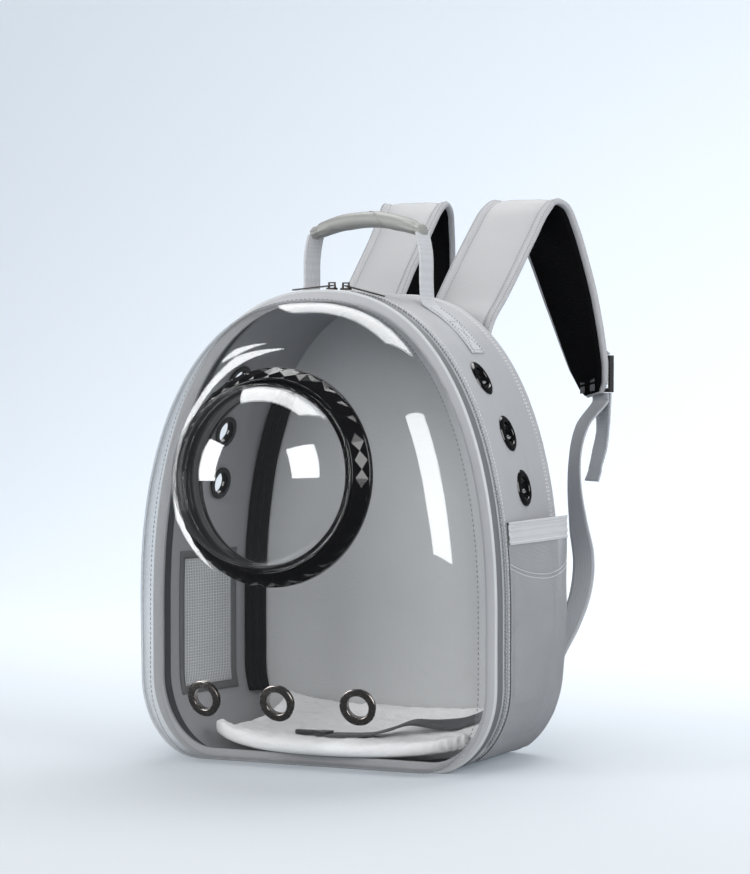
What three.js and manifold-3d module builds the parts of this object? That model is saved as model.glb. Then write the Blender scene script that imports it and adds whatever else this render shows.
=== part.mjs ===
// A bubble pet carrier backpack: a fabric body with a clear moulded front and a round viewing dome.
// Millimetres, +X to the right as seen from the front, +Y to the back panel and the wearer, +Z up.
// The origin is the middle of the fabric body's base, on the ground. Pieces named right lie at +X.
import * as THREE from "three";
import { mergeVertices } from "three/addons/utils/BufferGeometryUtils.js";
import Module from "manifold-3d";

const wasm = await Module();
wasm.setup();

// Clearance between neighbouring pieces
const gap = 0.3;

// Clearance between a soft sheet and the curved wall that it lies on
const seatGap = 0.8;

// Body outline, seen from the front
const height = 420;
const frontWidth = 342;
const backWidth = 318;
const cornerWidth = 62;
const cornerHeight = 75;
const shoulderHeight = 130;
const crownPower = 2.3;

// Body from front to back
const bodyDepth = 140;
const pipingDepth = 3.5;
const stripDepth = 13;
const tapeDepth = 9.6;
const pipingProud = 1.5;
const pipingCover = 9;
const pipingChamfer = 1;
const clothWall = 2;
const backPanelWall = 5;

// Zip
const tapeRecess = 0.7;
const teethWidth = 4;
const teethProud = 1.4;
const teethEndHeight = 22;
const sliderSpread = 7;
const sliderShift = 8;
const sliderLength = 8;
const sliderWidth = 7;
const sliderBody = 1.8;
const bridgeOpening = 3.8;
const bridgeBar = 1.2;
const bridgeWidth = 1.6;
const pullLength = 40;
const pullWidth = 4.6;
const pullThickness = 1.2;
const pullEye = 4.4;
const pullDroopRight = 14;
const pullDroopLeft = 5;

// Clear shell
const shellDepth = 87;
const shellWall = 1.5;
const shellInset = 7;
const shellPower = 3.2;
const shellCentreHeight = 195;
const shellRounding = 0.75;
const shellBase = 1.5;
const shellLip = 2;

// Viewing dome and its ring
const bubbleHeight = 258;
const bubbleTilt = 4.8;
const seatDepth = 80;
const ringRadius = 94;
const ringOpening = 76;
const ringDepth = 20;
const ringSkirt = 7;
const ringLip = 3;
const ringFacets = 36;
const facetProud = 1.6;
const domeRadius = 81;
const domeHeight = 80;
const domeWall = 1.6;
const domeSteps = 28;
const domeClearance = 0.8;
const retainerDepth = 5;
const retainerInset = 2;
const retainerSlope = 4;
const padMargin = 3;
const padBlend = 20;

// Ventilation eyelets
const eyeletRadius = 16.5;
const eyeletHole = 10;
const eyeletBarrel = 1.8;
const eyeletRim = 2.2;
const eyeletEdge = 0.6;
const eyeletLip = 1.3;
const eyeletFlange = 1.2;
const eyeletReach = 12;
const flangeInset = 1.5;
const eyeletSides = 12;
const frontEyeletHeight = 63;
const frontEyeletSpread = 76;
const frontEyeletCount = 3;
const eyeletSag = 2;

// Mesh window under each pocket
const windowFloor = 58;
const windowTop = 176;
const windowFrontShare = 0.15;
const windowBackShare = 0.69;
const meshWall = 1;

// Side pockets
const pocketFloor = 9;
const pocketTop = 218;
const pocketBand = 20;
const pocketFrontShare = 0.036;
const pocketWall = 1.2;
const pocketBulge = 18;
const pocketGather = 0.6;
const mouthFlare = 9;

// Carry handle
const handleSpread = 118;
const handleHeight = 470;
const handleWidth = 28;
const handleSetback = 0.49;
const gripLength = 112;
const gripRise = 12;
const gripThickness = 15;
const gripEnd = 0.62;
const webbingWall = 1.6;
const handleSewn = 42;
const handleBend = 8;

// Shoulder straps
const strapWidth = 70;
const strapReach = 210;
const strapPad = 5;
const strapMeshWall = 2.4;
const strapBorder = 5;
const strapWebbing = 25;
const leashWidth = 20;
const lockWidth = 32;
const lockHeight = 36;
const lockThickness = 5;
const lockBar = 4;
const lockStandOff = 12;
const lockShift = 6;
const lockDrop = 7;
const webbingDrop = 8;
const loopLength = 18;
const clipLength = 32;
const clipWidth = 8;
const clipThickness = 4;

// Dark fold in the back corners
const foldFloor = 46;
const foldTop = 330;
const foldWidth = 17;
const foldDepth = 4;
const foldWall = 1.2;
const foldPleats = 3;

// Floor mat
const matThickness = 13;
const matRise = 25;
const matOverhang = 14;
const matSpread = 20;
const matCurl = 9;
const matBow = 52;
const matReach = 0.42;
const matClearance = 2;
const leashHump = 9;

// Places worked out from the sizes
const rimY = -bodyDepth / 2;
const backY = bodyDepth / 2;
const tapeFront = rimY - tapeDepth;
const stripFront = tapeFront - gap - stripDepth;
const bandFront = stripFront - gap - pipingDepth;
const crownHeight = height - shoulderHeight;
const halfFront = frontWidth / 2;
const halfBack = backWidth / 2;

/** Half the width of the body at a depth: it narrows from the zip to the back panel. */
function halfWidthAt(y) {
  const share = Math.max(0, (y - rimY) / bodyDepth);
  return halfFront + (halfBack - halfFront) * share;
}

/** The side eyelets: rise as a share of the height and depth as a share of the body's depth. */
const sideEyelets = [
  { rise: 0.817, depth: 0.31 },
  { rise: 0.701, depth: 0.385 },
  { rise: 0.586, depth: 0.455 },
];

/** Places of the outline's points along half of the flat base, from its middle. */
const baseShares = [0.25, 0.62, 1];

/** One outline point and its outward normal, as a row of the outline. */
function outlinePoint(x, z, nx, nz) {
  const length = Math.hypot(nx, nz);
  return { x, z, nx: nx / length, nz: nz / length };
}

/**
 * The body's outline at a depth, counter-clockwise from the front: flat base, elliptical corners,
 * upright sides and one round crown.
 */
function outline(y, cornerSteps = 6, crownSteps = 13) {
  const half = halfWidthAt(y);
  const corner = cornerWidth * (half / halfFront);
  const right = baseShares.map((share) => outlinePoint(share * (half - corner), 0, 0, -1));
  for (let i = 1; i <= cornerSteps; i++) {
    const t = (i / cornerSteps) * (Math.PI / 2);
    const x = half - corner + corner * Math.sin(t);
    const z = cornerHeight * (1 - Math.cos(t));
    right.push(outlinePoint(x, z, Math.sin(t) / corner, -Math.cos(t) / cornerHeight));
  }
  for (let i = 0; i <= crownSteps; i++) {
    const t = (i / crownSteps) * (Math.PI / 2);
    const across = Math.cos(t) ** (2 / crownPower);
    const up = Math.sin(t) ** (2 / crownPower);
    const nx = across ** (crownPower - 1) / half;
    const nz = up ** (crownPower - 1) / crownHeight;
    right.push(outlinePoint(half * across, shoulderHeight + crownHeight * up, nx, nz));
  }
  const top = right.pop();
  const left = right.map((p) => ({ x: -p.x, z: p.z, nx: -p.nx, nz: p.nz })).reverse();
  return [...right, { ...top, x: 0, nx: 0, nz: 1 }, ...left];
}

/** The outline moved inwards by a distance. */
function insetOutline(y, inset) {
  return outline(y).map((p) => ({ ...p, x: p.x - p.nx * inset, z: Math.max(0, p.z - p.nz * inset) }));
}

const columns = outline(rimY).length;

/** A point on the body's side at a height, the smooth outward normal there and its facet's normal. */
function sideAt(y, z, side = 1) {
  const points = outline(y).filter((p) => p.x > 0);
  const i = Math.max(1, points.findIndex((p) => p.z >= z));
  const a = points[i - 1];
  const b = points[i];
  const t = (z - a.z) / (b.z - a.z || 1);
  const taper = (halfFront - halfBack) / bodyDepth;
  const normal = new THREE.Vector3(a.nx + (b.nx - a.nx) * t, taper, a.nz + (b.nz - a.nz) * t).normalize();
  const facet = new THREE.Vector3(b.z - a.z, taper * (b.z - a.z), a.x - b.x).normalize();
  const point = new THREE.Vector3(a.x + (b.x - a.x) * t, y, z);
  for (const vector of [point, normal, facet]) vector.x *= side;
  return { point, normal, facet };
}

/** Closes a geometry's seams and turns its faces outwards. */
function closed(geometry) {
  const bare = geometry.clone();
  bare.deleteAttribute("normal");
  bare.deleteAttribute("uv");
  bare.clearGroups();
  const merged = mergeVertices(bare, 1e-4);
  const position = merged.getAttribute("position");
  const index = merged.index.array;
  const corner = [new THREE.Vector3(), new THREE.Vector3(), new THREE.Vector3()];
  let volume = 0;
  for (let i = 0; i < index.length; i += 3) {
    corner.forEach((v, k) => v.fromBufferAttribute(position, index[i + k]));
    volume += corner[0].dot(corner[1].cross(corner[2]));
  }
  if (volume < 0) {
    for (let i = 0; i < index.length; i += 3) {
      [index[i + 1], index[i + 2]] = [index[i + 2], index[i + 1]];
    }
  }
  return merged;
}

/** A closed geometry as a solid that can be cut and joined. */
function solid(geometry) {
  const made = closed(geometry);
  const vertProperties = made.getAttribute("position").array;
  const triVerts = new Uint32Array(made.index.array);
  return new wasm.Manifold(new wasm.Mesh({ numProp: 3, vertProperties, triVerts }));
}

/** A solid's surface as a geometry. */
function geometryOf(manifold) {
  const mesh = manifold.getMesh();
  const geometry = new THREE.BufferGeometry();
  geometry.setAttribute("position", new THREE.BufferAttribute(mesh.vertProperties, 3));
  geometry.setIndex(new THREE.BufferAttribute(mesh.triVerts, 1));
  return geometry;
}

/** Cuts a geometry by others. */
function cut(geometry, cutters) {
  return geometryOf(cutters.reduce((left, cutter) => left.subtract(solid(cutter)), solid(geometry)));
}

/** Moves every point of a geometry to the place that a function gives for it. */
function warp(geometry, place) {
  const made = geometry.clone();
  const position = made.getAttribute("position");
  for (let i = 0; i < position.count; i++) {
    const p = place(position.getX(i), position.getY(i), position.getZ(i));
    position.setXYZ(i, p.x, p.y, p.z);
  }
  return closed(made);
}

/**
 * A closed band round the body: a lathe of a ring-shaped section, whose points are then placed
 * by section row and outline column.
 */
function band(rows, place) {
  const ring = Array.from({ length: rows + 1 }, (_, row) => {
    const t = ((row % rows) / rows) * Math.PI * 2;
    return new THREE.Vector2(3 + Math.cos(t), Math.sin(t));
  });
  const geometry = new THREE.LatheGeometry(ring, columns);
  const position = geometry.getAttribute("position");
  for (let column = 0; column <= columns; column++) {
    for (let row = 0; row <= rows; row++) {
      const p = place(row % rows, column % columns);
      position.setXYZ(column * (rows + 1) + row, p.x, p.y, p.z);
    }
  }
  return closed(geometry);
}

/** A hoop that follows the body's outline, with a section given as depth and inset pairs. */
function hoop(section) {
  const ring = (y, inset) => insetOutline(y, inset).map((p) => new THREE.Vector3(p.x, y, p.z));
  const rings = section.map(([y, inset]) => ring(y, inset));
  return band(section.length, (row, column) => rings[row][column]);
}

/** A named mesh with its own material. */
function piece(name, geometry, finish) {
  const mesh = new THREE.Mesh(geometry, new THREE.MeshStandardMaterial(finish));
  mesh.name = name;
  return mesh;
}

/** The same geometry on the other side of the bag. */
function mirrored(geometry) {
  return warp(geometry, (x, y, z) => new THREE.Vector3(-x, y, z));
}

/** A row of a strap's table as a place, with its seat on the back panel where back is 0. */
function rowPlace(row, seat) {
  const back = backY + gap + seat + row.back * strapReach;
  const centre = new THREE.Vector3(row.across * halfBack, back, row.up * height);
  return { centre, turn: row.turn, width: row.width };
}

/** The frame of a strap at a share of its length: its centre and its across and outward directions. */
function strapFrame(places, t) {
  const curve = new THREE.CatmullRomCurve3(places.map((place) => place.centre));
  const position = t * (places.length - 1);
  const i = Math.min(Math.floor(position), places.length - 2);
  const between = (a, b) => THREE.MathUtils.lerp(a, b, position - i);
  const turn = THREE.MathUtils.degToRad(between(places[i].turn, places[i + 1].turn));
  const along = curve.getTangent(t);
  const level = new THREE.Vector3(Math.cos(turn), Math.sin(turn), 0);
  const across = level.addScaledVector(along, -level.dot(along)).normalize();
  const out = new THREE.Vector3().crossVectors(across, along).normalize();
  return { centre: curve.getPoint(t), across, out, width: between(places[i].width, places[i + 1].width) };
}

/** A flat strap along its places, kept outside the back panel. */
function strap(places, steps, width, wall, shift = 0) {
  return warp(new THREE.BoxGeometry(1, 1, 1, 2, 1, steps), (u, v, w) => {
    const frame = strapFrame(places, THREE.MathUtils.clamp(w + 0.5, 0, 1));
    const point = frame.centre.addScaledVector(frame.out, shift + v * wall);
    point.addScaledVector(frame.across, u * width * frame.width);
    point.y = Math.max(point.y, backY + gap);
    return point;
  });
}

// Materials

const softGrey = { color: 0xc6c8ca, roughness: 0.7, metalness: 0 };
const trimGrey = { color: 0xb4b6b8, roughness: 0.85, metalness: 0 };
const meshGrey = { color: 0xb9bcc0, roughness: 0.9, metalness: 0 };
const webbingGrey = { color: 0x7d7f83, roughness: 0.85, metalness: 0 };
const meshBlack = { color: 0x101012, roughness: 0.95, metalness: 0 };
const glossBlack = { color: 0x08080a, roughness: 0.15, metalness: 0 };
const darkNickel = { color: 0x6c635a, roughness: 0.25, metalness: 1 };
const clearSheet = { color: 0xd8dcde, roughness: 0.05, metalness: 0, transparent: true, opacity: 0.3 };
const plushWhite = { color: 0xe8e8ea, roughness: 1, metalness: 0 };
const leashGrey = { color: 0x4b4d50, roughness: 0.9, metalness: 0 };

// Clear shell

/** Height of the shell's base, for the inset of its outer or its inner face. */
function shellFloor(inset) {
  return shellBase + inset - shellInset;
}

/** The shell's rim: the body's outline moved inwards, and let down at its base to near the ground. */
function shellRim(inset) {
  const letDown = (shellCentreHeight - shellFloor(inset)) / (shellCentreHeight - inset);
  return insetOutline(bandFront, inset).map((p) => {
    const stretch = p.z < shellCentreHeight ? letDown : 1;
    return { ...p, z: shellCentreHeight + (p.z - shellCentreHeight) * stretch };
  });
}

/** How far the shell's rim lies from its centre, in a direction in the outline's plane. */
function rimReach(angle, inset) {
  const points = shellRim(inset);
  const direction = new THREE.Vector2(Math.cos(angle), Math.sin(angle));
  let reach = 0;
  points.forEach((p, i) => {
    const q = points[(i + 1) % points.length];
    const a = new THREE.Vector2(p.x, p.z - shellCentreHeight);
    const edge = new THREE.Vector2(q.x, q.z - shellCentreHeight).sub(a);
    const cross = direction.x * edge.y - direction.y * edge.x;
    if (Math.abs(cross) < 1e-9) return;
    const along = (a.x * edge.y - a.y * edge.x) / cross;
    const share = (a.x * direction.y - a.y * direction.x) / cross;
    if (along > 0 && share >= -1e-6 && share <= 1 + 1e-6) reach = Math.max(reach, along);
  });
  return reach;
}

/** The same for an ellipse inside that rim, which the shell's loops round off towards. */
function ovalReach(angle, inset) {
  const across = halfFront - inset;
  const below = shellCentreHeight - shellFloor(inset);
  const upright = Math.sin(angle) > 0 ? height - inset - shellCentreHeight : below;
  return 1 / Math.hypot(Math.cos(angle) / across, Math.sin(angle) / upright);
}

/** Distance from the shell's centre to the loop that has shrunk to a share of the rim. */
function loopReach(angle, share, inset) {
  const rounding = shellRounding * THREE.MathUtils.smoothstep(1 - share, 0, 0.3);
  return share * THREE.MathUtils.lerp(rimReach(angle, inset), ovalReach(angle, inset), rounding);
}

const tilt = THREE.MathUtils.degToRad(bubbleTilt);

/** The flat round pad that carries the ring, blended into a point of the shell. */
function withPad(x, y, z, wall) {
  const upright = z - bubbleHeight;
  const radius = Math.hypot(x, upright / Math.cos(tilt));
  const padRadius = ringRadius + padMargin;
  const share = 1 - THREE.MathUtils.smoothstep(radius, padRadius, padRadius + padBlend);
  const pad = bandFront - seatDepth + wall + upright * Math.tan(tilt);
  return THREE.MathUtils.lerp(y, pad, share);
}

/** The shell's depth in front of the rim for a loop that has shrunk to a share of it. */
function loopDepth(share, wall) {
  return (shellDepth - wall) * Math.max(0, 1 - share ** shellPower) ** (1 / shellPower);
}

/** The shell's surface over a point of the outline's plane; wall is 0 outside and the wall inside. */
function shellSurface(x, z, wall = 0) {
  const upright = z - shellCentreHeight;
  const angle = Math.atan2(upright, x);
  const distance = Math.hypot(x, upright);
  let low = 0;
  let high = 1;
  for (let i = 0; i < 30; i++) {
    const middle = (low + high) / 2;
    if (loopReach(angle, middle, shellInset + wall) < distance) low = middle;
    else high = middle;
  }
  const y = bandFront - loopDepth(low, wall);
  return new THREE.Vector3(x, withPad(x, y, z, wall), z);
}

/** The shell's outward normal over a point of the outline's plane. */
function shellNormal(x, z) {
  const step = 2;
  const across = shellSurface(x + step, z).sub(shellSurface(x - step, z));
  const up = shellSurface(x, z + step).sub(shellSurface(x, z - step));
  return across.cross(up).normalize();
}

/** How far round from the rim towards its front each of the shell's outer loops lies, in degrees. */
const shellTurns = [0, 6, 13, 21, 30, 40];

/** How far from the last of those loops to the ring's pad each of the next loops lies. */
const padShares = [0.2, 0.55, 1];

/** The shell's loops from the rim to the bubble's opening. */
function shellLoops(wall) {
  const inset = shellInset + wall;
  const rim = shellRim(inset);
  const angles = rim.map((p) => Math.atan2(p.z - shellCentreHeight, p.x));
  const seat = bandFront - gap;
  const outer = shellTurns.map(THREE.MathUtils.degToRad).map((turn) => {
    const share = Math.cos(turn) ** (2 / shellPower);
    return angles.map((angle, i) => {
      const rimPoint = Math.hypot(rim[i].x, rim[i].z - shellCentreHeight);
      const reach = turn === 0 ? rimPoint : loopReach(angle, share, inset);
      const x = reach * Math.cos(angle);
      const z = shellCentreHeight + reach * Math.sin(angle);
      const y = seat - loopDepth(share, wall);
      return new THREE.Vector3(x, withPad(x, y, z, wall), z);
    });
  });
  const last = outer[outer.length - 1];
  const circle = (radius, share) =>
    last.map((p) => {
      const turn = Math.atan2(p.z - bubbleHeight, p.x);
      const x = THREE.MathUtils.lerp(p.x, radius * Math.cos(turn), share);
      const z = THREE.MathUtils.lerp(p.z, bubbleHeight + radius * Math.sin(turn) * Math.cos(tilt), share);
      return shellSurface(x, z, wall);
    });
  const pad = padShares.map((share) => circle(ringRadius + padMargin, share));
  return [...outer, ...pad, circle(ringOpening + shellLip, 1)];
}

function frontShell() {
  const loops = [...shellLoops(0), ...shellLoops(shellWall).reverse()];
  return band(loops.length, (row, column) => loops[row][column]);
}

// Viewing dome

const bubbleGroup = new THREE.Group();
bubbleGroup.position.set(0, bandFront - seatDepth, bubbleHeight);
bubbleGroup.quaternion.setFromUnitVectors(
  new THREE.Vector3(0, 1, 0),
  new THREE.Vector3(0, -Math.cos(tilt), Math.sin(tilt)),
);

/** The ring: a lathe whose sloping face is cut into a zigzag of triangular facets. */
function bubbleRing() {
  const bore = domeRadius + domeClearance;
  const front = bore + ringLip;
  const middle = (ringRadius + front) / 2 + facetProud;
  const slope = (ringSkirt + ringDepth) / 2;
  const ledge = ringDepth - ringLip;
  const profile = [
    [ringOpening, gap],
    [ringRadius, gap],
    [ringRadius, ringSkirt],
    [middle, slope],
    [front, ringDepth],
    [bore, ringDepth],
    [bore, ledge],
    [ringOpening, ledge],
    [ringOpening, gap],
  ].map(([radius, out]) => new THREE.Vector2(radius, out));
  const half = Math.PI / ringFacets;
  const isMiddle = (radius, out) => Math.abs(out - slope) < 0.01 && radius > front;
  return warp(new THREE.LatheGeometry(profile, ringFacets), (x, y, z) => {
    const turn = isMiddle(Math.hypot(x, z), y) ? half : 0;
    return new THREE.Vector3(x, y, z).applyAxisAngle(new THREE.Vector3(0, 1, 0), turn);
  });
}

/** The ring that clamps the dome's ring from inside the shell. */
function bubbleRetainer() {
  const back = -shellWall - gap;
  const rim = ringRadius - retainerInset;
  const profile = [
    [ringOpening, back],
    [ringOpening, back - retainerDepth],
    [rim - retainerSlope, back - retainerDepth],
    [rim, back],
    [ringOpening, back],
  ].map(([radius, out]) => new THREE.Vector2(radius, out));
  return closed(new THREE.LatheGeometry(profile, ringFacets));
}

/** The dome: a thin cap, open towards the bag. */
function bubbleDome() {
  const base = ringDepth - ringLip + gap;
  const cap = (radius, rise, steps) => {
    const sphere = (radius ** 2 + rise ** 2) / (2 * rise);
    const spread = Math.asin(Math.min(1, radius / sphere));
    return Array.from({ length: steps + 1 }, (_, i) => {
      const t = (spread * i) / steps;
      return new THREE.Vector2(sphere * Math.sin(t), base + rise - sphere * (1 - Math.cos(t)));
    });
  };
  const outer = cap(domeRadius, domeHeight, 6);
  const inner = cap(domeRadius - domeWall, domeHeight - domeWall, 5).reverse();
  outer[0].x = 0;
  inner[inner.length - 1].x = 0;
  return closed(new THREE.LatheGeometry([...outer, ...inner], domeSteps));
}

// Eyelets

/** An eyelet's lathe: a domed outer flange, a barrel through the wall and a flat inner flange. */
function eyelet(wall) {
  const groove = wall + gap + eyeletSag;
  const back = groove + eyeletFlange;
  const barrel = eyeletHole + eyeletBarrel;
  const profile = [
    [eyeletHole, -back],
    [eyeletHole, eyeletLip],
    [(eyeletHole + eyeletRadius) / 2, eyeletRim],
    [eyeletRadius, eyeletEdge],
    [barrel, gap],
    [barrel, -groove],
    [eyeletRadius - flangeInset, -groove],
    [eyeletRadius - flangeInset, -back],
    [eyeletHole, -back],
  ].map(([radius, out]) => new THREE.Vector2(radius, out));
  return closed(new THREE.LatheGeometry(profile, eyeletSides));
}

/** The hole that an eyelet's barrel passes through. */
function eyeletCutter() {
  const radius = eyeletHole + eyeletBarrel + gap;
  return new THREE.CylinderGeometry(radius, radius, 2 * eyeletReach, eyeletSides);
}

/** Stands a geometry made about +Y on a point, along a normal. */
function stand(geometry, point, normal) {
  const matrix = new THREE.Matrix4().compose(
    point,
    new THREE.Quaternion().setFromUnitVectors(new THREE.Vector3(0, 1, 0), normal),
    new THREE.Vector3(1, 1, 1),
  );
  return geometry.clone().applyMatrix4(matrix);
}

const frontEyeletSeats = Array.from({ length: frontEyeletCount }, (_, i) => {
  const x = (i - (frontEyeletCount - 1) / 2) * frontEyeletSpread;
  return { point: shellSurface(x, frontEyeletHeight), normal: shellNormal(x, frontEyeletHeight) };
});

const sideEyeletSeats = [1, -1].flatMap((side) =>
  sideEyelets.map((row) => {
    const { point, facet } = sideAt(rimY + row.depth * bodyDepth, row.rise * height, side);
    return { side, point: point.addScaledVector(facet, gap), normal: facet };
  }),
);

// Fabric body

/** The box that a side window takes out of the body. */
function windowCutter(side, clearance) {
  const front = rimY + windowFrontShare * bodyDepth;
  const back = rimY + windowBackShare * bodyDepth;
  const box = new THREE.BoxGeometry(
    halfFront,
    back - front - 2 * clearance,
    windowTop - windowFloor - 2 * clearance,
  );
  return box.translate(side * halfFront, (front + back) / 2, (windowFloor + windowTop) / 2);
}

function gusset() {
  const back = backY - backPanelWall - gap;
  const body = hoop([
    [rimY, 0],
    [back, 0],
    [back, clothWall],
    [rimY, clothWall],
  ]);
  const holes = sideEyeletSeats.map((seat) => stand(eyeletCutter(), seat.point, seat.normal));
  return cut(body, [...holes, windowCutter(1, 0), windowCutter(-1, 0)]);
}

function windowMesh() {
  const middle = clothWall / 2;
  const sheet = hoop([
    [rimY + 1, middle - meshWall / 2],
    [backY - backPanelWall - 1, middle - meshWall / 2],
    [backY - backPanelWall - 1, middle + meshWall / 2],
    [rimY + 1, middle + meshWall / 2],
  ]);
  return geometryOf(solid(sheet).intersect(solid(windowCutter(1, gap))));
}

function backPanel() {
  const points = (y) => insetOutline(y, 0).map((p) => new THREE.Vector2(p.x, p.z));
  const front = backY - backPanelWall;
  const plate = new THREE.ExtrudeGeometry(new THREE.Shape(points(front)), {
    depth: backPanelWall,
    bevelEnabled: false,
  });
  const narrowing = halfWidthAt(backY) / halfWidthAt(front);
  return warp(plate, (x, z, depth) => {
    const share = depth / backPanelWall;
    return new THREE.Vector3(x * THREE.MathUtils.lerp(1, narrowing, share), front + depth, z);
  });
}

// Zip

/** The teeth: a hoop over the tape, left out along the base where the front is hinged on cloth. */
function zipTeeth() {
  const middle = rimY - tapeDepth / 2;
  const ring = hoop([
    [middle - teethWidth / 2, -teethProud],
    [middle + teethWidth / 2, -teethProud],
    [middle + teethWidth / 2, tapeRecess - gap],
    [middle - teethWidth / 2, tapeRecess - gap],
  ]);
  const base = new THREE.BoxGeometry(frontWidth + bodyDepth, bodyDepth, 2 * teethEndHeight);
  return cut(ring, [base.translate(0, middle, 0)]);
}

const zipY = rimY - tapeDepth / 2;
const hingeHeight = sliderBody + bridgeOpening / 2;

/** A slider: a flat body on the teeth with a staple-shaped bridge over it. */
function zipSlider() {
  const top = sliderBody + bridgeOpening + bridgeBar;
  const half = sliderLength / 2;
  const shoulder = half - bridgeBar / 2;
  const inner = shoulder - bridgeBar;
  const corners = (list) => list.map(([x, z]) => new THREE.Vector2(x, z));
  const staple = new THREE.Shape(
    corners([
      [-half, 0],
      [half, 0],
      [shoulder, top],
      [-shoulder, top],
    ]),
  );
  staple.holes.push(
    new THREE.Path(
      corners([
        [-inner, sliderBody],
        [-inner, top - bridgeBar],
        [inner, top - bridgeBar],
        [inner, sliderBody],
      ]),
    ),
  );
  const bridge = new THREE.ExtrudeGeometry(staple, { depth: bridgeWidth, bevelEnabled: false });
  bridge.translate(0, 0, -bridgeWidth / 2);
  const body = new THREE.BoxGeometry(sliderLength, sliderBody, sliderWidth).translate(0, sliderBody / 2, 0);
  return geometryOf(solid(bridge).add(solid(body))).rotateX(Math.PI / 2);
}

/** A pull about its hinge axis: an eye round the slider's bridge and a long flat tongue along +X. */
function zipPull() {
  const half = pullWidth / 2;
  const arm = (pullWidth - bridgeWidth) / 2 - gap;
  const bar = bridgeBar / 2;
  const reach = pullEye + bar;
  const nose = Array.from({ length: 7 }, (_, i) => {
    const t = -Math.PI / 2 + (i / 6) * Math.PI;
    return new THREE.Vector2(pullLength - half + half * Math.cos(t), half * Math.sin(t));
  });
  const tongue = new THREE.Shape([new THREE.Vector2(-bar, -half), ...nose, new THREE.Vector2(-bar, half)]);
  const eye = [
    [bar, -half + arm],
    [bar, half - arm],
    [reach, half - arm],
    [reach, -half + arm],
  ];
  tongue.holes.push(new THREE.Path(eye.map(([x, y]) => new THREE.Vector2(x, y))));
  const plate = new THREE.ExtrudeGeometry(tongue, { depth: pullThickness, bevelEnabled: false });
  return closed(plate.translate(0, 0, -pullThickness / 2));
}

// Pockets

/** The heights of the outline's points between two heights, and those two. */
function rowHeights(floor, top) {
  const between = outline(rimY).filter((p) => p.x > 0 && p.z > floor + 2 && p.z < top - 2);
  return [floor, ...between.map((p) => p.z), top];
}

/** Turns the diagonals of a box's inner face, so that a curved sheet's two faces bend alike. */
function matchDiagonals(box) {
  const cornersPerCell = 6;
  const { start, count } = box.groups[1];
  for (let i = start; i < start + count; i += cornersPerCell) {
    const [a, b, d, , c] = Array.from({ length: cornersPerCell }, (_, k) => box.index.getX(i + k));
    [a, b, c, a, c, d].forEach((corner, k) => box.index.setX(i + k, corner));
  }
  return box;
}

/** The pocket's outer sheet between two heights, standing off the body by its bulge. */
function pocketSheet(floor, top) {
  const front = rimY + pocketFrontShare * bodyDepth;
  const back = backY - backPanelWall - 2 * gap;
  const rows = rowHeights(floor, top);
  const steps = rows.length - 1;
  const box = matchDiagonals(new THREE.BoxGeometry(1, 1, 1, 1, 8, steps));
  return warp(box, (u, v, w) => {
    const across = v + 0.5;
    const z = rows[Math.round((w + 0.5) * steps)];
    const rise = (z - pocketFloor) / (pocketTop - pocketFloor);
    const { point, normal } = sideAt(front + across * (back - front), z);
    const drawnIn = 1 - pocketGather * THREE.MathUtils.smoothstep(rise, 0.55, 1);
    const fullness = Math.sin(Math.min(1, rise * 1.5) * (Math.PI / 2)) * drawnIn;
    const corner = THREE.MathUtils.smoothstep(across, 0.6, 1) * THREE.MathUtils.smoothstep(rise, 0.6, 1);
    const backTurn = Math.sqrt(Math.min(1, (1 - across) / 0.25));
    const belly = pocketBulge * THREE.MathUtils.smoothstep(across, 0, 0.7) * backTurn * fullness;
    const off = seatGap + belly + mouthFlare * corner + (u + 0.5) * pocketWall;
    return point.addScaledVector(normal, off);
  });
}

// Handle

const handleY = rimY + handleSetback * bodyDepth;

/** A point of the round crown over a distance from the middle, with its outward normal. */
function crownAt(y, x) {
  const across = x / halfWidthAt(y);
  const up = (1 - across ** crownPower) ** (1 / crownPower);
  const nx = across ** (crownPower - 1) / halfWidthAt(y);
  return outlinePoint(x, shoulderHeight + crownHeight * up, nx, up ** (crownPower - 1) / crownHeight);
}

/** The webbing of one side of the handle: sewn down the crown, then up to the grip. */
function handleWebbing() {
  const foot = handleSpread / 2;
  const steps = 6;
  const start = foot + handleBend;
  const across = Array.from({ length: steps + 1 }, (_, i) => start + handleSewn * (1 - i / steps));
  const sewn = across.map((x) => crownAt(handleY, x));
  const offset = (p, off) => new THREE.Vector2(p.x + p.nx * off, p.z + p.nz * off);
  const line = sewn.map((p) => offset(p, seatGap));
  const inner = [...line];
  const outer = sewn.map((p) => offset(p, seatGap + webbingWall));
  const bend = line[steps].y + handleBend;
  const end = gripLength / 2;
  inner.push(new THREE.Vector2(foot, bend), new THREE.Vector2(end - webbingWall, handleHeight));
  outer.push(new THREE.Vector2(foot + webbingWall, bend + webbingWall), new THREE.Vector2(end, handleHeight));
  const shape = new THREE.Shape([...inner, ...outer.reverse()]);
  const made = new THREE.ExtrudeGeometry(shape, { depth: handleWidth, bevelEnabled: false });
  return warp(made, (x, z, depth) => {
    const y = handleY + depth - handleWidth / 2;
    return new THREE.Vector3(x * (halfWidthAt(y) / halfWidthAt(handleY)), y, z);
  });
}

/** The padded grip: a flattened roll along a low arch. */
function handleGrip() {
  const half = gripLength / 2;
  const roll = new THREE.CylinderGeometry(1, 1, 1, 10, 10);
  return warp(roll, (x, y, z) => {
    const along = y * 2;
    const fullness = gripEnd + (1 - gripEnd) * Math.sqrt(Math.max(0, 1 - along ** 4));
    const middle = handleHeight + gap + (gripThickness * gripEnd) / 2 + gripRise * (1 - along ** 2);
    return new THREE.Vector3(
      along * half,
      handleY + (z * handleWidth * fullness) / 2,
      middle + (x * gripThickness * fullness) / 2,
    );
  });
}

// Shoulder straps

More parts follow.
